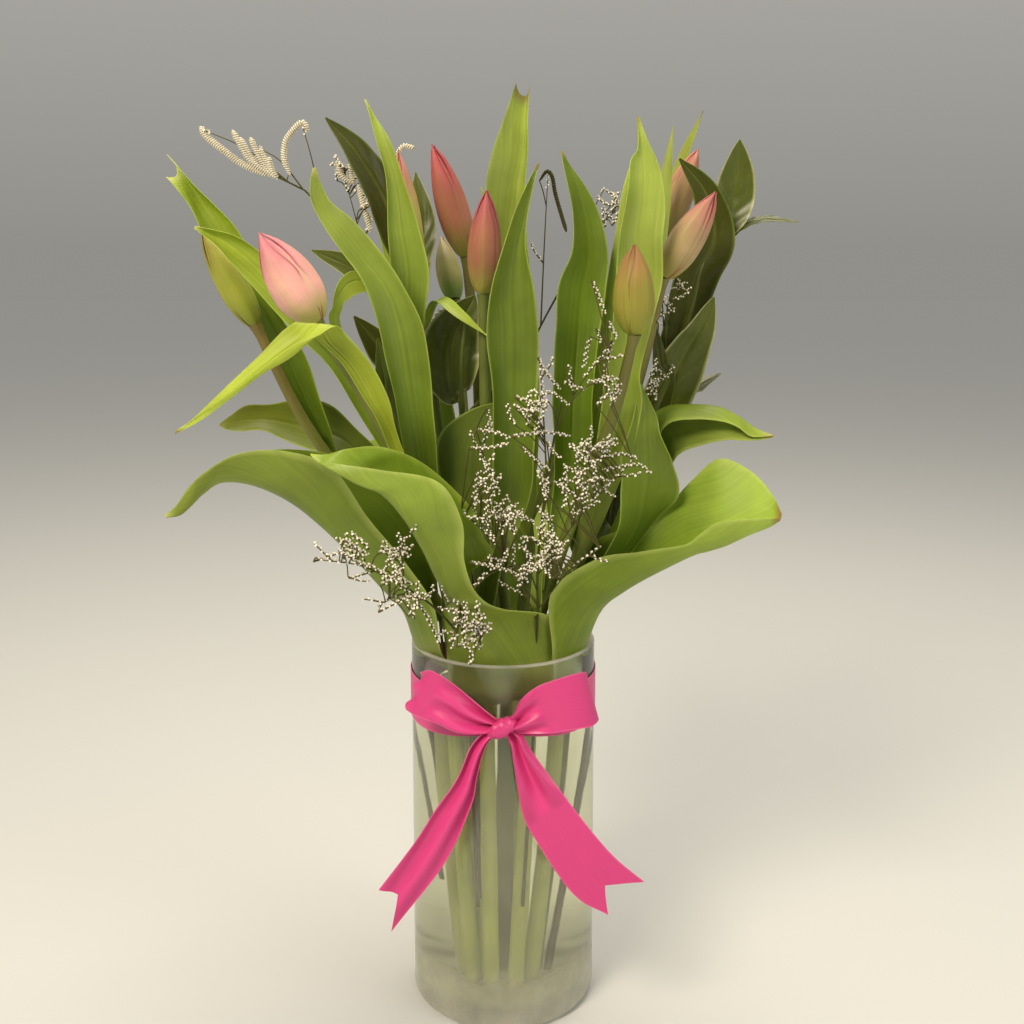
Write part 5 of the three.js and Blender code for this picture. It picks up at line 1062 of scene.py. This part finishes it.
# %% Rows of florets that show
# The rows and ears that can be told apart on each spray, in groups at one depth. After the depth comes
# each one's x and z at its start, its middle and its end, for an ear after its radius.
spray_rows = {
    "front": [
        (-76, [[17, 360, 20, 354, 27, 345]]),
        (-74, [[31, 351, 31, 347, 39, 345], [41, 348, 50, 351, 54, 350]]),
        (-76, [[6, 342, 12, 340, 17, 339], [6, 338, 12, 336, 17, 336], [18, 342, 23, 344, 31, 338],
               [22, 340, 19, 333, 16, 325], [-12, 326, -1, 324, 3, 322], [-15, 318, -6, 318, 3, 320],
               [-7, 336, -6, 330, -5, 325], [5, 322, 21, 324, 32, 322], [9, 318, 14, 313, 22, 307],
               [21, 321, 24, 316, 27, 313], [47, 317, 51, 320, 54, 322], [49, 313, 56, 315, 63, 313],
               [47, 306, 64, 309, 70, 305], [47, 299, 50, 296, 53, 294], [33, 285, 39, 288, 46, 292],
               [-10, 309, -12, 300, -12, 292], [5, 288, 10, 285, 15, 282], [-15, 264, 2, 260, 12, 255],
               [-13, 252, -10, 256, -7, 259]]),
        (-74, [[42, 396, 45, 389, 48, 381], [49, 378, 51, 374, 53, 370], [44, 374, 45, 371, 46, 368],
               [42, 370, 40, 363, 39, 356], [52, 368, 50, 359, 48, 349]]),
    ],
    "left": [
        (-84, [[-89, 264, -74, 269, -68, 272], [-74, 275, -69, 272, -63, 268],
               [-73, 270, -68, 266, -62, 264], [-58, 269, -51, 271, -43, 268],
               [-47, 272, -47, 276, -48, 280], [-72, 258, -66, 256, -62, 256],
               [-58, 241, -48, 246, -36, 250]]),
        (-78, [[-30, 223, -37, 238, -49, 253]]),
        (-84, [[-48, 255, -55, 260, -62, 264]]),
    ],
    "right": [
        (-20, [[89, 396, 91, 393, 93, 390], [81, 385, 84, 383, 87, 382], [79, 375, 80, 373, 82, 372]]),
    ],
}
spray_ears = {
    "back": (30, [(1.3, [20, 448, 24, 453, 27, 450, 29, 440, 35, 420])]),
    "back_left": (47, [(2.1, [-134, 452, -148, 459, -156, 465, -166, 473, -170, 479]),
        (1.9, [-127, 450, -142, 460, -152, 477]), (1.8, [-127, 450, -139, 459, -148, 473]),
        (1.8, [-127, 450, -136, 460, -142, 473]), (1.8, [-127, 450, -132, 458, -137, 467]),
        (1.8, [-127, 450, -130, 455, -132, 462]),
        (1.9, [-120, 452, -123, 460, -123, 467, -121, 473, -113, 481, -109, 476]),
        (1.6, [-82, 447, -80, 438, -75, 420]), (1.6, [-79, 449, -70, 427, -65, 410]),
        (1.8, [-84, 447, -91, 452, -93, 460]), (1.8, [-84, 447, -86, 455, -83, 461]),
        (1.6, [-60, 463, -56, 468, -50, 467])]),
}
# The pale and the brown of florets and of ears.
FLORET_TONES = ("#FFFBF0", "#857C50")
WOOLLY_TONES = ("#FFFBEE", "#A29870")
DARK_EAR_TONES = ("#5E5A2E", "#33301A")

# Where spikes crowd together: the middle of each patch, its half-width, half-height and how many.
spray_clumps = {
    "front": [([42, -76, 317], 9, 7, 14), ([33, -76, 301], 14, 9, 20), ([-2, -76, 282], 10, 8, 14),
        ([21, -76, 274], 9, 13, 18), ([47, -76, 344], 7, 8, 6), ([13, -76, 333], 9, 9, 8),
        ([-6, -76, 301], 8, 10, 7), ([6, -76, 262], 14, 7, 8)],
    "left": [([-68, -82, 269], 9, 5, 9), ([-50, -82, 263], 9, 7, 9), ([-19, -76, 231], 10, 12, 20),
        ([-43, -82, 249], 8, 6, 5)],
    "back_left": [([-89, 48, 452], 7, 8, 7), ([-78, 48, 433], 3, 11, 4)],
    "right": [([90, -20, 392], 4, 5, 3), ([83, -20, 381], 4, 5, 3), ([80, -20, 343], 6, 7, 8)],
    "back": [([60, 30, 433], 5, 12, 7), ([-40, 30, 374], 7, 3, 3), ([-21, 30, 355], 3, 5, 3)],
}


def at_depth(depth, flat):
    """Points at one depth, from their x and z in turn."""
    return np.insert(np.reshape(flat, (-1, 2)).astype(float), 1, depth, axis=1)


def crowd(middle, wide, high, count, seed):
    """Short bent spikes scattered evenly over an oval patch that faces the front. Each points up and
    outwards from the patch, more or less, and is 7 to 13 mm long."""
    k = np.arange(count) + seed
    reach, turn = np.sqrt(draw(k + 0.3)), 2 * np.pi * draw(k + 0.7)
    offset = np.stack([wide * reach * np.cos(turn), 9 * draw(k + 0.9) - 4.5, high * reach * np.sin(turn)],
                      axis=-1)
    aim = np.pi / 2 + 1.9 * (draw(k + 0.5) - 0.5) - 0.9 * offset[:, 0] / max(wide, 1)
    step = np.stack([np.cos(aim), 0.5 * draw(k + 0.2) - 0.25, np.sin(aim)], axis=-1)
    length = (6 * draw(k + 0.1) + 7)[:, None]
    bend = np.stack([-step[:, 2], 0 * aim, step[:, 0]], axis=-1) * length * (draw(k + 0.4) - 0.5)[:, None]
    start = np.array(middle) + offset - step * length / 2
    return np.stack([start, start + step * length * 0.5 + bend * 0.5, start + step * length], axis=1)


# %% Branches and stalks
# A joint less than LOW_BAND above the rim counts as LOW_COST farther away.
LOW_BAND = 45
LOW_COST = 20
STALK_RINGS = 12
STALK_RADIUS = 0.3


def branched(spray, line, parts, points):
    """Adds a spray's branches and their spikes to parts, and their florets to points. What comes back is
    places all along the branches and along the main stalk above the rim."""
    pitch, size = spray["florets"]
    spikes, length, bend = spray["spikes"]
    bare = 0.9 if spray["name"] in spray_ears else 0.6
    rim = line.height(VASE_HEIGHT)
    joints = [line.at(np.linspace(rim, 1, 60))]
    for index, (at, end) in enumerate(spray["branches"]):
        start = line.at(np.array([mix(rim, 1, at)]))[0]
        end = np.array(end, float)
        branch = Line([start, (start + end) / 2 + [0, 0, 4], end])
        joints.append(branch.at(np.linspace(0, 1, 40)))
        seed = spray["seed"] * 100 + index * 10
        flowered(branch, bare, pitch, size, seed, parts, points)
        for i in range(spikes):
            twig = spike_line(branch, mix(0.42, 0.86, i / max(1, spikes - 1)), length, bend, seed + i)
            flowered(twig, 0.1, pitch, size, seed + i, parts, points)
    return np.vstack(joints)


def stalk_to(start, joints):
    """A thin stalk to where a row starts. It leaves the spray from a joint that is near, and that lies
    below the start by about nine tenths of the way aside, so that it climbs as it goes out."""
    aside = np.linalg.norm(joints[:, :2] - start[:2], axis=1)
    low = LOW_COST * (joints[:, 2] < VASE_HEIGHT + LOW_BAND)
    near = joints[np.argmin(aside + 0.8 * np.abs(joints[:, 2] + 0.9 * aside - start[2]) + low)]
    line = Line([near, (near + start) / 2 + [0, 0, 1.5], start])
    u = np.linspace(0, 1, STALK_RINGS)
    return plain_tube(line, np.full(STALK_RINGS, STALK_RADIUS), 6, u, TWIG_TONE)


# %% Sprays
# The whole numbers before a seed and an index keep the draws of patches and of rows apart.
MAIN_TONE = "#4F5326"
MAIN_SIDES = 10
MAIN_RINGS = 90
for spray, line in zip(sprays, spray_lines):
    pitch, size = spray["florets"]
    u = np.linspace(0, 1, MAIN_RINGS)
    parts = [plain_tube(line, mix(0.9, 0.5, u), MAIN_SIDES, u, MAIN_TONE)]
    points = []
    joints = branched(spray, line, parts, points)
    depth, ears = spray_ears.get(spray["name"], (0, []))
    ears = [(Line(at_depth(depth, flat)), radius) for radius, flat in ears]
    ear_tones = DARK_EAR_TONES if spray["name"] == "back" else WOOLLY_TONES
    parts.extend(woolly_ear(ear, radius, *ear_tones) for ear, radius in ears)
    groups = spray_rows.get(spray["name"], [])
    rows = [at_depth(depth, flat) for depth, group in groups for flat in group]
    for index, patch in enumerate(spray_clumps[spray["name"]]):
        rows.extend(crowd(*patch, 53 * spray["seed"] + 211 * index))
    rows = [row - np.array([0, spray["scatter"] * draw(index + 0.4), 0]) for index, row in enumerate(rows)]
    starts = [row[0] for row in rows] + [ear.points[0] for ear, _ in ears]
    parts.extend(stalk_to(start, joints) for start in starts)
    for index, row in enumerate(rows):
        flowered(Line(row), 0.0, 0.75 * pitch, size, 977 * spray["seed"] + 31 * index, parts, points)
    places, headings, sizes = (np.concatenate(group) for group in zip(*points))
    turns = 6.28 * draw(np.arange(len(places)) + 7)
    tones = WOOLLY_TONES if spray["name"] == "back_left" else FLORET_TONES
    parts.append(florets(places, headings, sizes, turns, *tones))
    name = f"sea_lavender_{spray['name']}"
    print(name, "florets", len(places))
    make_piece(f"flowering_{name}", merged(parts), papery_floret, [name])

# %% [markdown]
# ## Vase and water
# The vase is blown glass, drawn into a cylinder: clear, with a thick base, rounded corners and a
# fire-polished rim. The water is a second clear solid. Its side stands a hair inside the glass wall, not
# short of it, because then light bends through both just as it does where water wets glass.

# %% Glass and water materials
# Heights in millimetres between which the film thins out above the foot, ends at the waterline, and
# comes back on the lip as a painted highlight of the rim.
FOOT_BAND = (2, 40)
MIST_BAND = (110, 165)
LIP_PAINTED_HIGHLIGHT_BAND = (VASE_HEIGHT - 1.6, VASE_HEIGHT - 0.6)


def clear_solid(name, colour, ior, roughness, streak, film, cover, damp_and_lip_highlight):
    """A clear solid with the faint upright waviness of drawn glass, from noise stretched along Z, under a
    dull patchy film. The film's share is the cover, and more up to the waterline, where the glass mists,
    and at the foot; on the lip it is more again, and there the pale film is a painted highlight of the rim."""
    material, tree = new_material(name)
    place = add_node(tree, "ShaderNodeTexCoord")
    stretch = add_node(tree, "ShaderNodeMapping", {
        "Vector": place.outputs["Object"], "Scale": (1, 1, 0.12)})
    wave = add_node(tree, "ShaderNodeTexNoise", {
        "Vector": stretch.outputs["Vector"], "Scale": 60.0, "Detail": 2.0})
    relief = add_node(tree, "ShaderNodeBump", {
        "Height": wave.outputs["Fac"], "Strength": streak, "Distance": 0.3 * MM})
    body = add_node(tree, "ShaderNodeBsdfPrincipled", {
        "Base Color": rgba(colour), "Roughness": roughness, "IOR": ior, "Transmission Weight": 1.0,
        "Normal": relief.outputs["Normal"]})
    height = add_node(tree, "ShaderNodeSeparateXYZ", {"Vector": place.outputs["Object"]})
    sums = []
    # Of the film's bands, the lip's is a painted highlight along the rim.
    for band, below, above in (
        (FOOT_BAND, 3.4 * damp_and_lip_highlight, 0.0), (LIP_PAINTED_HIGHLIGHT_BAND, 0.0, 5 * damp_and_lip_highlight), (MIST_BAND, cover + damp_and_lip_highlight, cover),
    ):
        part = add_node(tree, "ShaderNodeMapRange", {
            "Value": height.outputs["Z"], "From Min": band[0] * MM, "From Max": band[1] * MM,
            "To Min": below, "To Max": above})
        sums.append(part.outputs["Result"])
    ends = add_node(tree, "ShaderNodeMath", {0: sums[0], 1: sums[1]}, operation="ADD")
    even = add_node(tree, "ShaderNodeMath", {0: ends.outputs["Value"], 1: sums[2]}, operation="ADD")
    cloud = add_node(tree, "ShaderNodeTexNoise", {
        "Vector": place.outputs["Object"], "Scale": 40.0, "Detail": 6.0, "Roughness": 0.65})
    patchy = add_node(tree, "ShaderNodeMapRange", {
        "Value": cloud.outputs["Fac"], **NOISE_RANGE, "To Min": 0.75, "To Max": 1.25})
    share = add_node(tree, "ShaderNodeMath", {
        0: even.outputs["Value"], 1: patchy.outputs["Result"]}, operation="MULTIPLY")
    front = add_node(tree, "ShaderNodeBsdfDiffuse", {"Color": rgba(film)})
    through = add_node(tree, "ShaderNodeBsdfTranslucent", {"Color": rgba(film)})
    chalk = add_node(tree, "ShaderNodeMixShader", {
        "Fac": 0.5, 1: front.outputs["BSDF"], 2: through.outputs["BSDF"]})
    whole = add_node(tree, "ShaderNodeMixShader", {
        "Fac": share.outputs["Value"], 1: body.outputs["BSDF"], 2: chalk.outputs["Shader"]})
    add_node(tree, "ShaderNodeOutputMaterial", {"Surface": whole.outputs["Shader"]})
    return material


# Soda-lime glass, blown and drawn: almost colourless, with faint upright waves in its wall.
drawn_glass = clear_solid("drawn soda-lime glass", "#FEFFFC", 1.5, 0.02, 0.25, "#FFFDF0", 0.03, 0.11)
# Vase water a few days old: a little cloudy and yellow.
vase_water = clear_solid("clouded vase water", "#FBFDE0", 1.33, 0.05, 0.0, "#EEF2B4", 0.05, 0.0)


# %% Turned pieces
def turned(profile, steps=5, sides=144):
    """A solid of revolution about Z: a closed skin of rings, from the axis out and back to the axis. The
    profile's corners are kept, with even steps between them."""
    profile = np.array(profile, float)
    t = np.linspace(0, 1, steps, endpoint=False)[None, :, None]
    line = (profile[:-1, None] + (profile[1:, None] - profile[:-1, None]) * t).reshape(-1, 2)
    line = np.vstack([line, profile[-1]])
    line[:, 0] = np.maximum(line[:, 0], 0.02)
    angle = np.linspace(0, 2 * np.pi, sides, endpoint=False)[None, :]
    radius, height = line[:, :1], line[:, 1:]
    rings = np.stack(np.broadcast_arrays(radius * np.cos(angle), radius * np.sin(angle), height), axis=-1)
    return skin(rings, charted(angle * VASE_RADIUS, height), np.ones(3))


def arc(centre, radius, start, end, count=7):
    """Points of an arc in the profile's plane, between two angles in degrees."""
    angle = np.radians(np.linspace(start, end, count))
    return [(centre[0] + radius * math.cos(a), centre[1] + radius * math.sin(a)) for a in angle]


# %% Vase and water
# Radii of the outer foot edge, the lip and the inner foot edge, and how far the water reaches into the
# glass.
FOOT_ROUND = 5
LIP_ROUND = 1.5
INNER_ROUND = 4
WET = 0.15
inner = VASE_RADIUS - VASE_WALL
vase_profile = [(0, 0.6), (30, 0.4), (38, 0.0),
                *arc((VASE_RADIUS - FOOT_ROUND, FOOT_ROUND), FOOT_ROUND, -90, 0),
                *arc((VASE_RADIUS - LIP_ROUND, VASE_HEIGHT - LIP_ROUND), LIP_ROUND, 0, 180, 11),
                *arc((inner - INNER_ROUND, VASE_BASE + INNER_ROUND), INNER_ROUND, 0, -90), (0, VASE_BASE)]
make_piece("glass_vase", turned(vase_profile), drawn_glass, ["vase"], sharp=70)
water_profile = [(0, VASE_BASE - WET),
                 *arc((inner - INNER_ROUND + WET, VASE_BASE + INNER_ROUND), INNER_ROUND, -90, 0),
                 (inner + WET, WATER_TOP + 1.2), (inner - 0.4, WATER_TOP + 0.6), (inner - 1.4, WATER_TOP),
                 (0, WATER_TOP)]
make_piece("vase_water", turned(water_profile), vase_water, ["water"], sharp=70)

# %% [markdown]
# ## Ribbon
# One length of satin ribbon an inch wide goes round the vase and is tied in a bow. Satin is woven so
# that long threads float on its face, which makes it shine in soft bands across the threads. Each
# stretch of ribbon is a ruled sheet between its two selvedges, with folds that open out from the knot.

# %% Satin
# Real floats are 0.1 mm apart; they are drawn wider so that they show.
FLOAT_MM = 0.35
satin, tree = new_material("woven polyester satin")
chart = add_node(tree, "ShaderNodeUVMap", uv_map="surface")
threads = add_node(tree, "ShaderNodeMapping", {
    "Vector": chart.outputs["UV"], "Scale": (60, 1 / (FLOAT_MM * MM), 1)})
weave = add_node(tree, "ShaderNodeTexNoise", {
    "Vector": threads.outputs["Vector"], "Scale": 1.0, "Detail": 1.0})
thread_tone = add_node(tree, "ShaderNodeMapRange", {
    "Value": weave.outputs["Fac"], **NOISE_RANGE, "To Min": 0.93, "To Max": 1.05})
painted = add_node(tree, "ShaderNodeAttribute", attribute_name="paint")
tone = add_node(tree, "ShaderNodeVectorMath", {
    0: painted.outputs["Color"], "Scale": thread_tone.outputs["Result"]}, operation="SCALE")
relief = add_node(tree, "ShaderNodeBump", {
    "Height": weave.outputs["Fac"], "Strength": 0.25, "Distance": 0.04 * MM})
face = add_node(tree, "ShaderNodeBsdfPrincipled", {
    "Base Color": tone.outputs["Vector"], "Roughness": 0.38, "IOR": 1.5, "Sheen Weight": 0.12,
    "Sheen Roughness": 0.35, "Sheen Tint": rgba("#FF9CC8"), "Anisotropic": 0.5,
    "Normal": relief.outputs["Normal"]})
add_node(tree, "ShaderNodeOutputMaterial", {"Surface": face.outputs["BSDF"]})
print("satin nodes", len(tree.nodes))

# %% Ribbon sheets
RIBBON_WIDTH = 25
RIBBON_THICK = 0.35
DEEPEST_FOLD = 2.4
RIBBON_PINK = "#D23A80"
SELVEDGE_PINK = "#EA82B0"
KNOT_PINK = "#D0387E"


def sheet_skin(middle, uv, shade, loop=False):
    """Two faces and both selvedges of a thin sheet over a grid of points: each face stands half the
    thickness along the grid's own normal. The selvedges are a little lighter, and the pink is multiplied
    by the painted shade that is given."""
    if loop:
        down = np.roll(middle, -1, axis=0) - np.roll(middle, 1, axis=0)
    else:
        down = np.gradient(middle, axis=0)
    out = unit(np.cross(down, np.gradient(middle, axis=1))) * RIBBON_THICK / 2
    rings = np.concatenate([middle + out, (middle - out)[:, ::-1]], axis=1)
    v = there_and_back(np.linspace(-1, 1, middle.shape[1])[None, :, None])
    pink = mix(linear(RIBBON_PINK), linear(SELVEDGE_PINK), 0.4 * smooth(np.abs(v), 0.94, 0.97))
    return skin(rings, there_and_back(uv), pink * there_and_back(shade), loop)


def ribbon_skin(top, bottom, rows, pleats, fork=0.0, columns=32):
    """A ruled sheet between two selvedge lines. Where they stand nearer than the ribbon is wide, it folds
    by a cosine across it, as deep as the missing width needs, up to a limit, with painted shade that is
    lighter on the folds' crests and darker in their hollows. fork cuts the end in a V."""
    top, bottom = Line(top), Line(bottom)
    v = np.linspace(0, 1, columns + 1)[None, :]
    u = np.linspace(0, 1, rows)[:, None] * (1 - fork * (1 - np.abs(2 * v - 1)))
    a, b = (line.at(u.ravel()).reshape(*u.shape, 3) for line in (top, bottom))
    middle = mix(a, b, v[..., None])
    span = np.linalg.norm(b - a, axis=-1)
    missing = np.sqrt(2 * np.maximum((RIBBON_WIDTH / np.maximum(span, 4)) ** 2 - 1, 0))
    depth = np.minimum(span * missing / (2 * np.pi * pleats), DEEPEST_FOLD) * np.minimum(1, span / 8)
    normal = unit(np.cross(np.gradient(middle, axis=0), np.gradient(middle, axis=1)))
    fold = np.cos(2 * np.pi * pleats * v + 0.9 * np.sin(4 * u) + 0.6)
    middle = middle + normal * (depth * fold)[..., None]
    length = (top.length + bottom.length) / 2
    # Painted shade of the folds: lighter on their crests, darker in their hollows.
    shade = 1 + (0.1 * fold * np.minimum(depth, 1))[..., None]
    return sheet_skin(middle, charted(u * length, v * RIBBON_WIDTH), shade), length


# %% Bow
# Of each loop and tail: the points of its two selvedges from the knot outwards, and of a tail the share
# of its length that the notch takes.
loops = {
    "left_loop": (
        [[-2, -57, 174], [-8, -59, 180], [-16, -61.5, 188], [-24, -62, 195], [-35, -59, 201],
         [-41, -53, 198], [-39, -49, 196], [-28, -52, 191], [-14, -56, 181], [-2, -56, 174]],
        [[-2, -57, 170], [-11, -60, 169], [-22, -62, 170], [-32, -61, 174], [-44, -57, 177],
         [-49, -51, 178], [-46, -48, 175], [-33, -52, 171], [-16, -56, 169], [-2, -56, 170]]),
    "right_loop": (
        [[2, -57, 174], [5, -59, 178], [9, -61, 186], [17, -63, 194], [27, -63, 198], [37, -60, 200],
         [42, -55, 199], [40, -51, 197], [26, -53, 193], [12, -56, 183], [2, -56, 174]],
        [[2, -57, 170], [7, -60, 168.5], [14, -62, 169], [24, -63, 170], [36, -63, 172], [45, -59, 172],
         [49, -52, 173], [45, -49, 171], [31, -52, 168], [15, -56, 168], [2, -56, 170]]),
}
tails = {
    "left_tail": (
        [[-4, -58, 172], [-10, -59.5, 169], [-16, -60, 162], [-23, -61, 145], [-34, -62, 129],
         [-44, -62, 113], [-63, -62, 87]],
        [[-2, -58, 167], [-7, -59, 163], [-10, -59, 156], [-13, -59.5, 144], [-16, -60, 130],
         [-30, -61, 99], [-57, -61, 63]], 0.10),
    "right_tail": (
        [[7, -57.5, 169], [10, -58.5, 167], [14, -60, 160], [25, -61, 145], [44, -63, 120], [57, -64, 105],
         [72, -64, 92]],
        [[2, -57.5, 167], [5, -58.5, 161], [6, -59, 153], [10, -60, 128], [16, -60, 114], [36, -61, 84],
         [54, -62, 73]], 0.12),
}
RIBBON_ROWS = 90
for name, (top, bottom) in loops.items():
    surface, length = ribbon_skin(top, bottom, RIBBON_ROWS, 2)
    piece = make_piece(f"ribbon_{name}", surface, satin, ["ribbon_bow"])
for name, (top, bottom, fork) in tails.items():
    surface, length = ribbon_skin(top, bottom, RIBBON_ROWS, 1.5, fork)
    piece = make_piece(f"ribbon_{name}", surface, satin, ["ribbon_bow"])

# %% Knot
KNOT_RADIUS = 4.4
KNOT_SIDES = 48
knot_line = Line([[-6, -56, 167.5], [-4, -58.5, 169], [0, -60, 171.5], [4, -58.5, 173.5], [6, -56, 175]])
u = np.linspace(0, 1, 40)
place = u[:, None]
angle = np.linspace(0, 2 * np.pi, KNOT_SIDES, endpoint=False)[None, :]
wrap = KNOT_RADIUS * np.sqrt(np.clip(1 - 0.75 * (2 * u - 1) ** 2, 0, 1))[:, None]
folds = 0.06 * np.cos(4 * np.pi * 2.2 * place + angle)
wrap = wrap * (1 + folds + 0.05 * np.cos(3 * angle + 9 * place))
surface = plain_tube(knot_line, wrap, KNOT_SIDES, u, KNOT_PINK)
make_piece("ribbon_knot", surface, satin, ["ribbon_bow"])

# %% Band round the glass
# Towards the knot the band is gathered to a narrow, lower, pleated strip.
BAND_HEIGHT = 172.0
KNOT_HEIGHT = 168.0
GATHERED_HALF = 4.5
angle = np.linspace(0, 2 * np.pi, 240, endpoint=False)
front = np.abs(np.arctan2(np.sin(angle + np.pi / 2), np.cos(angle + np.pi / 2)))
gather = np.exp(-(front / 0.5) ** 2)
half = mix(RIBBON_WIDTH / 2, GATHERED_HALF, gather)[:, None]
centre = mix(BAND_HEIGHT, KNOT_HEIGHT, gather)[:, None]
v = np.linspace(-1, 1, 25)[None, :]
radius = VASE_RADIUS + 0.55 + 0.35 * gather[:, None] * (1 + np.cos(2 * np.pi * 2 * v))
height = centre + half * v + 0.5 * np.sin(3 * angle)[:, None]
middle = np.stack([radius * np.cos(angle)[:, None], radius * np.sin(angle)[:, None], height], axis=-1)
uv = charted(angle[:, None] * VASE_RADIUS, v * RIBBON_WIDTH / 2)
surface = sheet_skin(middle, uv, np.ones((*middle.shape[:2], 1)), loop=True)
band = make_piece("ribbon_round_vase", surface, satin, ["ribbon_band"])

# %% [markdown]
# ## Floor
# The floor is a plain pale sheet of matt painted board, large enough to reach the horizon.

# %% Floor
FLOOR_HALF = 9.0
FLOOR_STEPS = 12
board, tree = new_material("matt painted board")
place = add_node(tree, "ShaderNodeTexCoord")
grain = add_node(tree, "ShaderNodeTexNoise", {
    "Vector": place.outputs["Object"], "Scale": 90.0, "Detail": 4.0})
relief = add_node(tree, "ShaderNodeBump", {
    "Height": grain.outputs["Fac"], "Strength": 0.08, "Distance": 0.1 * MM})
face = add_node(tree, "ShaderNodeBsdfPrincipled", {
    "Base Color": rgba("#CACBCB"), "Roughness": 0.8, "Normal": relief.outputs["Normal"]})
add_node(tree, "ShaderNodeOutputMaterial", {"Surface": face.outputs["BSDF"]})
side = np.linspace(-FLOOR_HALF, FLOOR_HALF, FLOOR_STEPS + 1)
x, y = np.meshgrid(side, side)
step = np.arange(FLOOR_STEPS)
next_row = FLOOR_STEPS + 1
corner = (step[:, None] * next_row + step[None, :]).ravel()
floor_mesh = bpy.data.meshes.new("floor")
floor_mesh.from_pydata(
    np.stack([x, y, 0 * x], axis=-1).reshape(-1, 3), [],
    np.stack([corner, corner + 1, corner + next_row + 1, corner + next_row], axis=-1).tolist())
floor_mesh.materials.append(board)
floor = bpy.data.objects.new("floor", floor_mesh)
bpy.context.collection.objects.link(floor)
